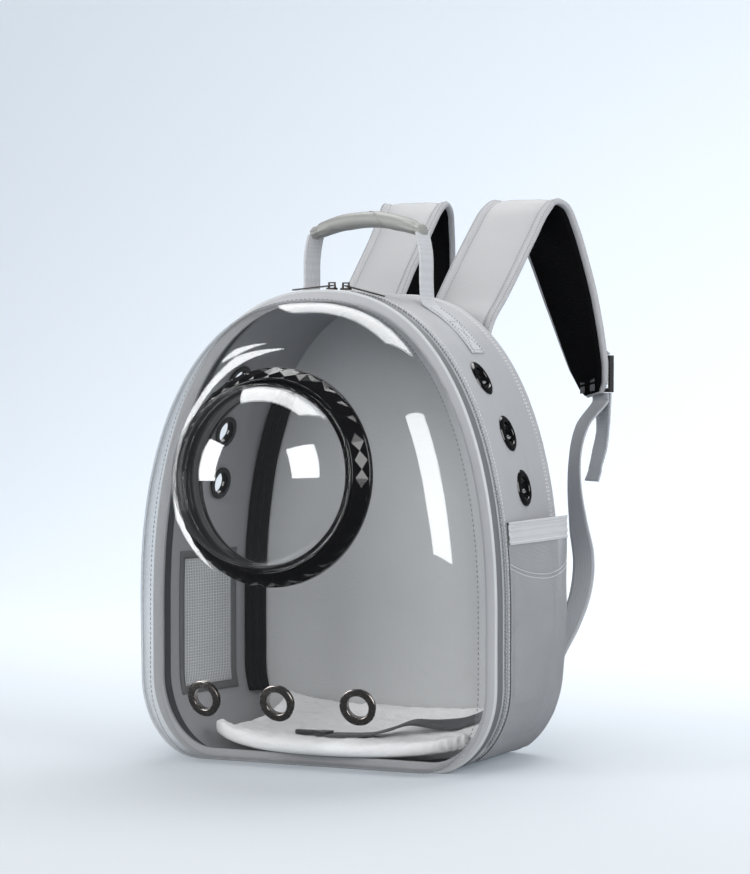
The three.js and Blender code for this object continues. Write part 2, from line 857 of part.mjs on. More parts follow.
/**
 * The right strap's centre line: across as a share of half the back's width, back as a share of the
 * straps' reach, up as a share of the height, the turn of its width about the upright in degrees and
 * its width as a share of the full width.
 */
const strapRows = [
  { across: 0.327, back: 0.0, up: 0.862, turn: 0, width: 1 },
  { across: 0.327, back: 0.0, up: 0.9, turn: 0, width: 1 },
  { across: 0.327, back: 0.048, up: 0.943, turn: 2, width: 1 },
  { across: 0.327, back: 0.157, up: 0.991, turn: 6, width: 1 },
  { across: 0.333, back: 0.286, up: 1.053, turn: 9, width: 1 },
  { across: 0.34, back: 0.457, up: 1.134, turn: 9, width: 1 },
  { across: 0.352, back: 0.59, up: 1.195, turn: 6, width: 1 },
  { across: 0.371, back: 0.676, up: 1.215, turn: 2, width: 1 },
  { across: 0.4, back: 0.762, up: 1.203, turn: -3, width: 1 },
  { across: 0.435, back: 0.829, up: 1.154, turn: -9, width: 1 },
  { across: 0.475, back: 0.89, up: 1.08, turn: -14, width: 1 },
  { across: 0.522, back: 0.933, up: 0.999, turn: -19, width: 1 },
  { across: 0.57, back: 0.971, up: 0.911, turn: -26, width: 0.97 },
  { across: 0.61, back: 0.99, up: 0.843, turn: -31, width: 0.9 },
  { across: 0.636, back: 1.0, up: 0.8, turn: -33, width: 0.68 },
  { across: 0.65, back: 1.0, up: 0.776, turn: -34, width: 0.36 },
];

/** Adjusting webbing of the right strap, from the buckle to its anchor low on the back panel. */
const webbingRows = [
  { across: 0.64, back: 0.886, up: 0.708, turn: -42, width: 1 },
  { across: 0.65, back: 0.781, up: 0.646, turn: -46, width: 1 },
  { across: 0.69, back: 0.695, up: 0.574, turn: -42, width: 1 },
  { across: 0.77, back: 0.6, up: 0.486, turn: -32, width: 1 },
  { across: 0.87, back: 0.486, up: 0.41, turn: -26, width: 1 },
  { across: 0.93, back: 0.343, up: 0.338, turn: -22, width: 1 },
  { across: 0.935, back: 0.2, up: 0.271, turn: -14, width: 1 },
  { across: 0.906, back: 0.086, up: 0.214, turn: -5, width: 1 },
  { across: 0.887, back: 0.014, up: 0.171, turn: 0, width: 1 },
  { across: 0.881, back: 0.0, up: 0.129, turn: 0, width: 1 },
];

/** Loose end of the webbing below the buckle. */
const tailRows = [
  { across: 0.69, back: 1.029, up: 0.695, turn: -40, width: 1 },
  { across: 0.68, back: 1.01, up: 0.65, turn: -36, width: 1 },
  { across: 0.665, back: 0.99, up: 0.612, turn: -40, width: 1 },
  { across: 0.645, back: 0.97, up: 0.578, turn: -36, width: 1 },
];

/** The buckle: a moulded frame with a slot for the webbing on each side of its middle bar. */
function ladderLock() {
  const corners = (width, low, high) =>
    [
      [-width / 2, low],
      [width / 2, low],
      [width / 2, high],
      [-width / 2, high],
    ].map(([x, z]) => new THREE.Vector2(x, z));
  const half = lockHeight / 2;
  const frame = new THREE.Shape(corners(lockWidth, -half, half));
  const slot = strapWebbing + 2 * gap;
  frame.holes.push(new THREE.Path(corners(slot, -half + lockBar, -lockBar / 2)));
  frame.holes.push(new THREE.Path(corners(slot, lockBar / 2, half - lockBar)));
  const plate = new THREE.ExtrudeGeometry(frame, { depth: lockThickness, bevelEnabled: false });
  plate.translate(0, 0, -lockThickness / 2);
  return warp(plate, (x, z, depth) => {
    const { centre, across, out, down } = lockFrame();
    return centre.addScaledVector(across, x).addScaledVector(out, depth).addScaledVector(down, -z);
  });
}

/** The buckle's place: it stands off the strap's outer face near the strap's end. */
function lockFrame() {
  const place = strapPlaces[strapPlaces.length - 3];
  const turn = THREE.MathUtils.degToRad(place.turn);
  const across = new THREE.Vector3(Math.cos(turn), Math.sin(turn), 0);
  const down = new THREE.Vector3(0, 0, -1);
  const out = new THREE.Vector3().crossVectors(across, down);
  const centre = place.centre.clone().addScaledVector(out, lockStandOff);
  centre.addScaledVector(across, lockShift).addScaledVector(down, lockDrop);
  return { centre, across, out, down };
}

/** A place in line with the buckle, given by its distances along the buckle's directions. */
function lockPlace(along, outwards, turn) {
  const { centre, out, down } = lockFrame();
  return { centre: centre.addScaledVector(down, along).addScaledVector(out, outwards), turn, width: 1 };
}

const strapPlaces = strapRows.map((row) => rowPlace(row, strapPad / 2));
const lockTurn = strapRows[strapRows.length - 3].turn;
const lockEdge = lockHeight / 2 + gap * 2;

/**
 * The loop from the strap's outer face to the buckle's upper bar: up as a share of its length and
 * down to the strap as a share of the buckle's stand-off.
 */
const loopRows = [
  { up: 1, down: 1 },
  { up: 0.5, down: 1 },
  { up: 0.2, down: 0.65 },
  { up: 0, down: 0 },
];

function loopPlaces() {
  const face = (strapPad + webbingWall) / 2 + seatGap - lockStandOff;
  const bar = lockEdge + webbingWall / 2;
  return loopRows.map((row) => lockPlace(-bar - row.up * loopLength, face * row.down, lockTurn));
}

/** The webbing and its loose end start side by side at the buckle's lower bar. */
function fromLock(rows, outwards) {
  const drops = [0, webbingDrop / 2, webbingDrop];
  const start = drops.map((drop) => lockPlace(lockEdge + drop, outwards, lockTurn));
  return [...start, ...rows.map((row) => rowPlace(row, webbingWall / 2))];
}

// Dark pleated fold inside the back corners

/** The fold: a pleated strip from the side wall to the back panel, up the inside corner. */
function cornerFold() {
  const strips = 2 * foldPleats;
  const front = backY - backPanelWall - foldWidth;
  const back = backY - backPanelWall - seatGap - foldWall;
  return warp(new THREE.BoxGeometry(1, 1, 1, strips, 1, 6), (u, v, w) => {
    const z = foldFloor + (w + 0.5) * (foldTop - foldFloor);
    const across = u + 0.5;
    const pleat = (Math.round(across * strips) % 2) * foldDepth * Math.SQRT1_2;
    const wall = sideAt(front, z).point.x - clothWall - 2 * seatGap;
    const corner = sideAt(back, z).point.x - foldWidth;
    const face = v * foldWall * Math.SQRT1_2;
    const x = THREE.MathUtils.lerp(wall, corner, across) - pleat + face;
    const y = THREE.MathUtils.lerp(front, back, across) - pleat * (1 - across) + face;
    return new THREE.Vector3(x, y, z);
  });
}

// Floor mat and leash

/**
 * The mat's rows from front to back: depth as a share of its length, ledge as a share of the sewn
 * edge that it lies over, rise as a share of the height that its back edge is turned up by.
 */
const matRows = [
  { depth: 0, ledge: 1, rise: 0 },
  { depth: 0.14, ledge: 1, rise: 0 },
  { depth: 0.32, ledge: 0, rise: 0 },
  { depth: 0.6, ledge: 0, rise: 0.04 },
  { depth: 0.76, ledge: 0, rise: 0.2 },
  { depth: 0.9, ledge: 0, rise: 0.6 },
  { depth: 1, ledge: 0, rise: 1 },
];
const matFront = bandFront - matOverhang;
const matBack = backY - backPanelWall - matClearance;

/** The mat's upper face over a point of the floor: its rows, and its sides turned up at the walls. */
function matTop(x, y) {
  const share = THREE.MathUtils.clamp((y - matFront) / (matBack - matFront), 0, 1);
  const i = Math.max(1, matRows.findIndex((row) => row.depth >= share));
  const a = matRows[i - 1];
  const b = matRows[i];
  const flat = THREE.MathUtils.lerp(matFloor(a), matFloor(b), (share - a.depth) / (b.depth - a.depth));
  return flat + matThickness + matCurl * (x / matHalfWidth(y)) ** 4;
}

/** Height of the mat's lower face in a row, at the middle of the bag. */
function matFloor(row) {
  return clothWall + seatGap + row.ledge * (pipingCover - clothWall) + row.rise * matRise;
}

function matHalfWidth(y) {
  return halfWidthAt(y) - cornerWidth + matSpread;
}

/** The floor mat: a thick plush sheet, bowed forwards into the shell. */
function floorMat() {
  const steps = matRows.length - 1;
  const box = new THREE.BoxGeometry(1, 1, 1, 8, steps, 1);
  return warp(box, (u, v, w) => {
    const row = matRows[Math.round((v + 0.5) * steps)];
    const bow = matBow * (2 * u) ** 2 * Math.max(0, 1 - row.depth / matReach);
    const y = THREE.MathUtils.lerp(matFront, matBack, row.depth) + bow;
    const x = 2 * u * matHalfWidth(y);
    return new THREE.Vector3(x, y, matFloor(row) + matCurl * (2 * u) ** 4 + (w + 0.5) * matThickness);
  });
}

/**
 * The leash's rows from its clip to its far end: across as a share of the mat's half width, depth as
 * a share of the mat's length and lift as a share of the height of its hump.
 */
const leashRows = [
  { across: -0.22, depth: 0.5, lift: 0 },
  { across: -0.09, depth: 0.53, lift: 0 },
  { across: 0.05, depth: 0.57, lift: 0 },
  { across: 0.19, depth: 0.62, lift: 0.45 },
  { across: 0.33, depth: 0.68, lift: 1 },
  { across: 0.49, depth: 0.75, lift: 0.45 },
  { across: 0.66, depth: 0.82, lift: 0 },
  { across: 0.8, depth: 0.88, lift: 0 },
];

/** The place of a leash row on the mat. */
function leashPlace(row) {
  const y = THREE.MathUtils.lerp(matFront, matBack, row.depth);
  return { x: row.across * matHalfWidth(y), y };
}

/** The leash: webbing that lies across the mat with one hump, level with the mat's slope. */
function leash() {
  const steps = leashRows.length - 1;
  return warp(new THREE.BoxGeometry(1, 1, 1, steps, 1, 1), (u, v, w) => {
    const row = leashRows[Math.round((u + 0.5) * steps)];
    const place = leashPlace(row);
    const y = place.y + v * leashWidth;
    const z = matTop(place.x, y) + seatGap + row.lift * leashHump + (w + 0.5) * webbingWall;
    return new THREE.Vector3(place.x, y, z);
  });
}

/** The leash's end: a narrow rounded tongue with a wider block where the webbing is held. */
function leashClip() {
  const half = clipWidth / 2;
  const nose = Array.from({ length: 5 }, (_, i) => {
    const t = Math.PI / 2 + (i / 4) * Math.PI;
    return new THREE.Vector2(-clipLength + half * Math.cos(t), half * Math.sin(t));
  });
  const block = clipLength * 0.35;
  const neck = block + clipWidth / 4;
  const shape = new THREE.Shape([
    new THREE.Vector2(0, clipWidth),
    new THREE.Vector2(-block, clipWidth),
    new THREE.Vector2(-neck, half),
    ...nose,
    new THREE.Vector2(-neck, -half),
    new THREE.Vector2(-block, -clipWidth),
    new THREE.Vector2(0, -clipWidth),
  ]);
  const { x, y } = leashPlace(leashRows[0]);
  const plate = new THREE.ExtrudeGeometry(shape, { depth: clipThickness, bevelEnabled: false });
  return closed(plate.translate(x - gap, y, matTop(x, y) + seatGap));
}

// Assembly

const part = new THREE.Group();

function add(name, geometry, finish) {
  const mesh = piece(name, geometry, finish);
  part.add(mesh);
  return mesh;
}

const shellHoles = frontEyeletSeats.map((seat) => stand(eyeletCutter(), seat.point, seat.normal));
add("front_shell", cut(frontShell(), shellHoles), clearSheet);
frontEyeletSeats.forEach((seat, i) => {
  const geometry = stand(eyelet(shellWall), seat.point, seat.normal);
  add("front_eyelet_" + (i + 1), closed(geometry), darkNickel);
});

bubbleGroup.add(piece("bubble_ring", bubbleRing(), glossBlack));
bubbleGroup.add(piece("bubble_retainer", bubbleRetainer(), glossBlack));
bubbleGroup.add(piece("bubble_dome", bubbleDome(), clearSheet));
part.add(bubbleGroup);

add(
  "shell_piping",
  hoop([
    [bandFront, 0],
    [bandFront + pipingChamfer, -pipingProud],
    [bandFront + pipingDepth - pipingChamfer, -pipingProud],
    [bandFront + pipingDepth, 0],
    [bandFront + pipingDepth, pipingCover],
    [bandFront, pipingCover],
  ]),
  trimGrey,
);
add(
  "front_strip",
  hoop([
    [stripFront, 0],
    [tapeFront - gap, 0],
    [tapeFront - gap, clothWall],
    [stripFront, clothWall],
  ]),
  softGrey,
);
add(
  "zip_tape",
  hoop([
    [tapeFront, tapeRecess],
    [rimY - gap, tapeRecess],
    [rimY - gap, clothWall],
    [tapeFront, clothWall],
  ]),
  trimGrey,
);
add("zip_teeth", zipTeeth(), webbingGrey);

for (const [side, word, droop] of [[1, "right", pullDroopRight], [-1, "left", pullDroopLeft]]) {
  const sliderGroup = new THREE.Group();
  const sliderX = sliderShift + side * sliderSpread;
  sliderGroup.position.set(sliderX, zipY, crownAt(zipY, sliderX).z + teethProud + gap);
  sliderGroup.add(piece("zip_slider_" + word, zipSlider(), darkNickel));
  const pullGroup = new THREE.Group();
  pullGroup.position.z = hingeHeight;
  pullGroup.rotation.y = THREE.MathUtils.degToRad(side * droop);
  const pull = side > 0 ? zipPull() : mirrored(zipPull());
  pullGroup.add(piece("zip_pull_" + word, pull, darkNickel));
  sliderGroup.add(pullGroup);
  part.add(sliderGroup);
}

add("gusset", gusset(), softGrey);
add("back_panel", backPanel(), softGrey);
sideEyeletSeats.forEach((seat, i) => {
  const word = seat.side > 0 ? "right" : "left";
  const geometry = stand(eyelet(clothWall), seat.point, seat.normal);
  add("side_eyelet_" + word + "_" + ((i % sideEyelets.length) + 1), closed(geometry), glossBlack);
});

const meshShift = -((strapPad + strapMeshWall) / 2 + seatGap + 2 * gap);
const pairs = [
  ["window_mesh", windowMesh(), meshGrey],
  ["pocket", pocketSheet(pocketFloor, pocketTop - pocketBand - gap), meshGrey],
  ["pocket_band", pocketSheet(pocketTop - pocketBand, pocketTop), trimGrey],
  ["handle_webbing", handleWebbing(), trimGrey],
  ["shoulder_strap", strap(strapPlaces, 24, strapWidth, strapPad), softGrey],
  ["strap_mesh", strap(strapPlaces, 24, strapWidth - 2 * strapBorder, strapMeshWall, meshShift), meshBlack],
  ["strap_webbing", strap(fromLock(webbingRows, -webbingWall), 20, strapWebbing, webbingWall), webbingGrey],
  ["strap_tail", strap(fromLock(tailRows, webbingWall), 8, strapWebbing, webbingWall), webbingGrey],
  ["buckle_loop", strap(loopPlaces(), 6, strapWebbing, webbingWall), webbingGrey],
  ["ladder_lock", ladderLock(), glossBlack],
  ["corner_fold", cornerFold(), leashGrey],
];
pairs.forEach(([name, geometry, finish]) => {
  add(name + "_right", geometry, finish);
  add(name + "_left", mirrored(geometry), finish);
});
add("handle_grip", handleGrip(), softGrey);
add("floor_mat", floorMat(), plushWhite);

add("leash", leash(), leashGrey);
add("leash_clip", leashClip(), leashGrey);

export default part;
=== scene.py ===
import functools
import math

import bmesh
import bpy
from mathutils import Matrix, Vector, noise


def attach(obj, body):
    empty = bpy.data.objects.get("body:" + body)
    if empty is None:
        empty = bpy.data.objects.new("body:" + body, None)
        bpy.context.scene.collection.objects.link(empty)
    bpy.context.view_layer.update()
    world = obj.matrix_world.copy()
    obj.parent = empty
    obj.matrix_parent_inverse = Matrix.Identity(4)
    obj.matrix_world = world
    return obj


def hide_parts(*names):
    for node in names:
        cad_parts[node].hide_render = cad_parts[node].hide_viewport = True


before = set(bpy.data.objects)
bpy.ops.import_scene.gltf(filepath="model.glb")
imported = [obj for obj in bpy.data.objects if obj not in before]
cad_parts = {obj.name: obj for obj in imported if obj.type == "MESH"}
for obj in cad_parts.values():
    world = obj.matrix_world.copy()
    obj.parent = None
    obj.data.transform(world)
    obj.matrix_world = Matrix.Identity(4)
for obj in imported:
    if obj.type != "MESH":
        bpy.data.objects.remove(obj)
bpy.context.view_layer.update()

# Sizes of the bag in millimetres, as the frame has them
MM = 0.001
half_front = 171
half_back = 159
corner_width = 62
corner_height = 75
shoulder_height = 130
crown_height = 290
crown_power = 2.3
rim_y = -70
back_y = 70
panel_y = 65
piping_front = -96.7
cloth_wall = 2
shell_depth = 87
shell_inset = 7
shell_base = 1.5
shell_power = 3.2
shell_centre = 195
bubble_height = 258
bubble_tilt = math.radians(4.8)
bubble_y = -176.7
ring_radius = 94
ring_opening = 76
dome_rise = 80
strap_reach = 210
body_height = shoulder_height + crown_height
eyelet_hole = 12.1
strap_half = 35
lining_half = 30
webbing_width = 25
webbing_wall = 1.6
handle_width = 28
leash_width = 20
window_low = (-49.0, 58.0)
window_high = (26.6, 176.0)
slider_middle = 8
slider_gap = 12
coil_start = 23
lock_turn = -31
hands = (("right", 1), ("left", -1))
bag_middle = Vector((0, 0, 200))
front_eyelets = ((-76, 63), (0, 63), (76, 63))
side_eyelets = ((-26.6, 343.1), (-16.1, 294.4), (-6.3, 246.1))


def clamp(value, low=0.0, high=1.0):
    return max(low, min(high, value))


def mix(a, b, share):
    return a + (b - a) * share


def mirror(point, hand):
    """A point on the bag's right or, mirrored, on its left."""
    return Vector((hand * point.x, point.y, point.z))


def ease(value, low, high):
    """A smooth step from 0 to 1 between two values."""
    share = clamp((value - low) / (high - low))
    return share * share * (3 - 2 * share)


# The body's outline


def half_width(y):
    return half_front + (half_back - half_front) * max(0, (y - rim_y) / (back_y - rim_y))


def half_outline(y):
    """Places and outward normals up the right half of the outline, from the base's middle."""
    half = half_width(y)
    corner = corner_width * half / half_front
    rows = [(share * (half - corner) / 8, 0, 0, -1) for share in range(8)]
    for step in range(25):
        t = step / 24 * math.pi / 2
        x = half - corner + corner * math.sin(t)
        slope = (math.sin(t) / corner, -math.cos(t) / corner_height)
        rows.append((x, corner_height * (1 - math.cos(t)), *slope))
    for step in range(61):
        t = step / 60 * math.pi / 2
        across = max(0, math.cos(t)) ** (2 / crown_power)
        up = math.sin(t) ** (2 / crown_power)
        slope = (across ** (crown_power - 1) / half, up ** (crown_power - 1) / crown_height)
        rows.append((half * across, shoulder_height + crown_height * up, *slope))
    return [(Vector((x, z)), Vector((nx, nz)).normalized()) for x, z, nx, nz in rows]


@functools.lru_cache(maxsize=None)
def outline(y, inset, count):
    """Evenly spaced places round the body's outline, moved inwards, from the middle of the base."""
    right = half_outline(y)
    left = [(Vector((-p.x, p.y)), Vector((-n.x, n.y))) for p, n in reversed(right[1:-1])]
    rows = [(p - n * inset, n) for p, n in right + left]
    rows = [(Vector((p.x, max(0, p.y))), n) for p, n in rows]
    rows.append(rows[0])
    lengths = [(b[0] - a[0]).length for a, b in zip(rows, rows[1:])]
    total = sum(lengths)
    made = []
    walked = 0
    index = 0
    for step in range(count):
        wanted = total * step / count
        while walked + lengths[index] < wanted:
            walked += lengths[index]
            index += 1
        share = (wanted - walked) / lengths[index] if lengths[index] else 0
        (a, m), (b, n) = rows[index], rows[index + 1]
        made.append((a.lerp(b, share), m.lerp(n, share).normalized()))
    return made, total


def skin(y, share, off=0.0):
    """A place on the body's outer face, by its share of the way round the outline."""
    places, _ = outline(y, 0, 1440)
    index = round(share * 1440) % 1440
    place, normal = places[index]
    return Vector((place.x + normal.x * off, y, max(0, place.y + normal.y * off)))


def side(y, z, off=0.0, hand=1):
    """A place on the body's side at a height, moved outwards, and the normal there."""
    half = half_width(y)
    if z < corner_height:
        corner = corner_width * half / half_front
        cosine = 1 - z / corner_height
        sine = math.sqrt(max(0, 1 - cosine * cosine))
        x = half - corner + corner * sine
        nx, nz = sine / corner, -cosine / corner_height
    else:
        up = clamp((z - shoulder_height) / crown_height, 0, 0.999)
        across = (1 - up**crown_power) ** (1 / crown_power)
        x = half * across
        nx, nz = across ** (crown_power - 1) / half, up ** (crown_power - 1) / crown_height
    flat = Vector((nx, 0, nz)).normalized()
    normal = Vector((flat.x, (half_front - half_back) / (back_y - rim_y), flat.z)).normalized()
    place = Vector((x, y, z)) + normal * off
    return mirror(place, hand), mirror(normal, hand)


def crown(y, x, off=0.0):
    """A place on the round crown over a distance from the middle."""
    half = half_width(y)
    across = abs(x) / half
    up = (1 - across**crown_power) ** (1 / crown_power)
    slope = (across ** (crown_power - 1) / half, 0, up ** (crown_power - 1) / crown_height)
    normal = Vector(slope).normalized()
    normal.x = math.copysign(normal.x, x)
    return Vector((x, y, shoulder_height + crown_height * up)) + normal * off


# Meshes


def grid(columns, rows, place, size=(1, 1), wrap=False, paint=None, edge=None):
    """A grid whose points are placed by a function of two shares; size is its flat size."""
    bm = bmesh.new()
    flat = bm.loops.layers.uv.new("flat")
    edges = bm.loops.layers.uv.new("edge") if edge else None
    bmesh.ops.create_grid(bm, x_segments=columns, y_segments=rows, size=1)
    for face in bm.faces:
        middle = face.calc_center_median()
        if paint:
            face.material_index = paint((middle.x + 1) / 2, (middle.y + 1) / 2)
        for loop in face.loops:
            u, v = (loop.vert.co.x + 1) / 2, (loop.vert.co.y + 1) / 2
            loop[flat].uv = (u * size[0], v * size[1])
            if edge:
                loop[edges].uv = (edge(u, v), 0)
    for vert in bm.verts:
        vert.co = place((vert.co.x + 1) / 2, (vert.co.y + 1) / 2)
    if wrap:
        bmesh.ops.remove_doubles(bm, verts=bm.verts, dist=0.004)
    bmesh.ops.recalc_face_normals(bm, faces=bm.faces)
    return bm


def face_away(bm, centre=bag_middle):
    """Turns an open sheet's faces away from a point."""
    votes = sum((f.calc_center_median() - centre).dot(f.normal) * f.calc_area() for f in bm.faces)
    if votes < 0:
        bmesh.ops.reverse_faces(bm, faces=bm.faces)
    return bm


def lathe(profile, steps, place, closed=True):
    """A profile of radius and height pairs, spun about +Z and stood in a place."""
    bm = bmesh.new()
    verts = [bm.verts.new((radius, 0, height)) for radius, height in profile]
    pairs = list(zip(verts, verts[1:]))
    if closed:
        pairs.append((verts[-1], verts[0]))
    edges = [bm.edges.new(pair) for pair in pairs]
    bmesh.ops.spin(
        bm, geom=verts + edges, cent=(0, 0, 0), axis=(0, 0, 1), angle=2 * math.pi, steps=steps, use_merge=True
    )
    bmesh.ops.remove_doubles(bm, verts=bm.verts, dist=0.005)
    bmesh.ops.recalc_face_normals(bm, faces=bm.faces)
    bmesh.ops.transform(bm, matrix=place, verts=bm.verts)
    return bm


def stand(place, normal):
    """The matrix that stands +Z along a normal."""
    z = normal.normalized()
    x = Vector((0, 0, 1)).cross(z).normalized()
    matrix = Matrix((x, z.cross(x), z)).transposed().to_4x4()
    matrix.translation = place
    return matrix


def rounded(corners, radius, steps=3):
    """A closed section with its corners rounded."""
    made = []
    for index, corner in enumerate(corners):
        here = Vector(corner)
        before = Vector(corners[index - 1]) - here
        after = Vector(corners[(index + 1) % len(corners)]) - here
        a = here + before.normalized() * min(radius, before.length / 2)
        b = here + after.normalized() * min(radius, after.length / 2)
        for step in range(steps + 1):
            t = step / steps
            made.append(a * (1 - t) ** 2 + here * (2 * t * (1 - t)) + b * t**2)
    return made


def hoop(section, columns=300, paint=None):
    """A band round the body, with a section given as places of depth and inset."""
    loops = [outline(y, inset, columns) for y, inset in section]
    lengths = [(Vector(b) - Vector(a)).length for a, b in zip(section, section[1:] + section[:1])]

    def place(u, v):
        row = round(v * len(section)) % len(section)
        point, _ = loops[row][0][round(u * columns) % columns]
        return Vector((point.x, section[row][0], point.y))

    return grid(columns, len(section), place, (loops[0][1], sum(lengths)), wrap=True, paint=paint)


def new_object(name, bm):
    """An object in the scene from a mesh in millimetres."""
    bmesh.ops.scale(bm, vec=(MM, MM, MM), verts=bm.verts)
    mesh = bpy.data.meshes.new(name)
    bm.to_mesh(mesh)
    bm.free()
    made = bpy.data.objects.new(name, mesh)
    bpy.context.scene.collection.objects.link(made)
    return made


def piece(name, bm, finishes, replaces=(), sharp=40, wall=0, side_of_wall=-1):
    """A finished piece of the bag; a wall thickens an open sheet, inwards or to both sides."""
    made = new_object(name, bm)
    for finish in finishes if isinstance(finishes, list) else [finishes]:
        made.data.materials.append(finish.material)
    if sharp:
        made.data.shade_smooth()
        made.data.set_sharp_from_angle(angle=math.radians(sharp))
    if wall:
        sheet = made.modifiers.new("wall", "SOLIDIFY")
        sheet.thickness = wall * MM
        sheet.offset = side_of_wall
    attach(made, "bag")
    if replaces:
        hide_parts(*replaces)
    return made


def apply_modifiers(made):
    """Turns a piece's modifiers into its mesh."""
    graph = bpy.context.evaluated_depsgraph_get()
    mesh = bpy.data.meshes.new_from_object(made.evaluated_get(graph), depsgraph=graph)
    old = made.data
    made.modifiers.clear()
    made.data = mesh
    mesh.name = made.name
    bpy.data.meshes.remove(old)


def cut(made, cutter_bm):
    """Cuts holes in a piece with a mesh in millimetres."""
    cutter = new_object("cutter", cutter_bm)
    holes = made.modifiers.new("holes", "BOOLEAN")
    holes.operation = "DIFFERENCE"
    holes.solver = "EXACT"
    holes.object = cutter
    apply_modifiers(made)
    bpy.data.objects.remove(cutter)
    made.data.shade_smooth()
    made.data.set_sharp_from_angle(angle=math.radians(40))


def punch(cutter, matrix):
    """Adds an eyelet's hole to a cutter."""
    radii = {"radius1": eyelet_hole, "radius2": eyelet_hole}
    bmesh.ops.create_cone(cutter, cap_ends=True, segments=48, depth=24, matrix=matrix, **radii)


def sew(bm, path, length=2.6, space=0.9, thick=0.36):
    """Adds a row of stitches along a path of places and normals."""
    walked = 0
    wanted = space
    for (a, up), (b, _) in zip(path, path[1:]):
        step = b - a
        while step.length and wanted <= walked + step.length:
            centre = a.lerp(b, (wanted - walked) / step.length)
            along = step.normalized()
            lift = (up - along * along.dot(up)).normalized()
            axes = (along * length / 2, along.cross(lift) * thick, lift * thick)
            matrix = Matrix(axes).transposed().to_4x4()
            matrix.translation = centre
            bmesh.ops.create_icosphere(bm, subdivisions=1, radius=1, matrix=matrix)
            wanted += length + space
        walked += step.length


def curve(points, t):
    """A place on a smooth curve through points, at a share of the way along them."""
    position = clamp(t) * (len(points) - 1)
    index = min(int(position), len(points) - 2)
    share = position - index
    p1, p2 = points[index], points[index + 1]
    p0 = points[index - 1] if index else p1 * 2 - p2
    p3 = points[index + 2] if index + 2 < len(points) else p2 * 2 - p1
    d0, d1, d2 = (max(1e-4, (b - a).length) ** 0.5 for a, b in ((p0, p1), (p1, p2), (p2, p3)))
    m1 = ((p1 - p0) / d0 - (p2 - p0) / (d0 + d1) + (p2 - p1) / d1) * d1
    m2 = ((p2 - p1) / d1 - (p3 - p1) / (d1 + d2) + (p3 - p2) / d2) * d1
    s2, s3 = share**2, share**3
    return p1 * (2 * s3 - 3 * s2 + 1) + m1 * (s3 - 2 * s2 + share) + p2 * (3 * s2 - 2 * s3) + m2 * (s3 - s2)


# Materials


class Value:
    """A shader socket that adds and multiplies like a number."""

    def __init__(self, finish, socket):
        self.finish = finish
        self.socket = socket

    def math(self, operation, *others):
        return self.finish.node("ShaderNodeMath", {"operation": operation}, dict(enumerate((self, *others))))

    def __add__(self, other):
        return self.math("ADD", other)

    def __sub__(self, other):
        return self.math("SUBTRACT", other)

    def __rsub__(self, other):
        return self * -1 + other

    def __mul__(self, other):
        return self.math("MULTIPLY", other)

    def between(self, low, high):
        """0 below a value, 1 above another, smooth between them."""
        settings = {"interpolation_type": "SMOOTHSTEP"}
        sockets = {"Value": self, "From Min": low, "From Max": high}
        return self.finish.node("ShaderNodeMapRange", settings, sockets)


def label(key):
    """A socket's label from a keyword."""
    return key.replace("_", " ").title().replace("Ior", "IOR")


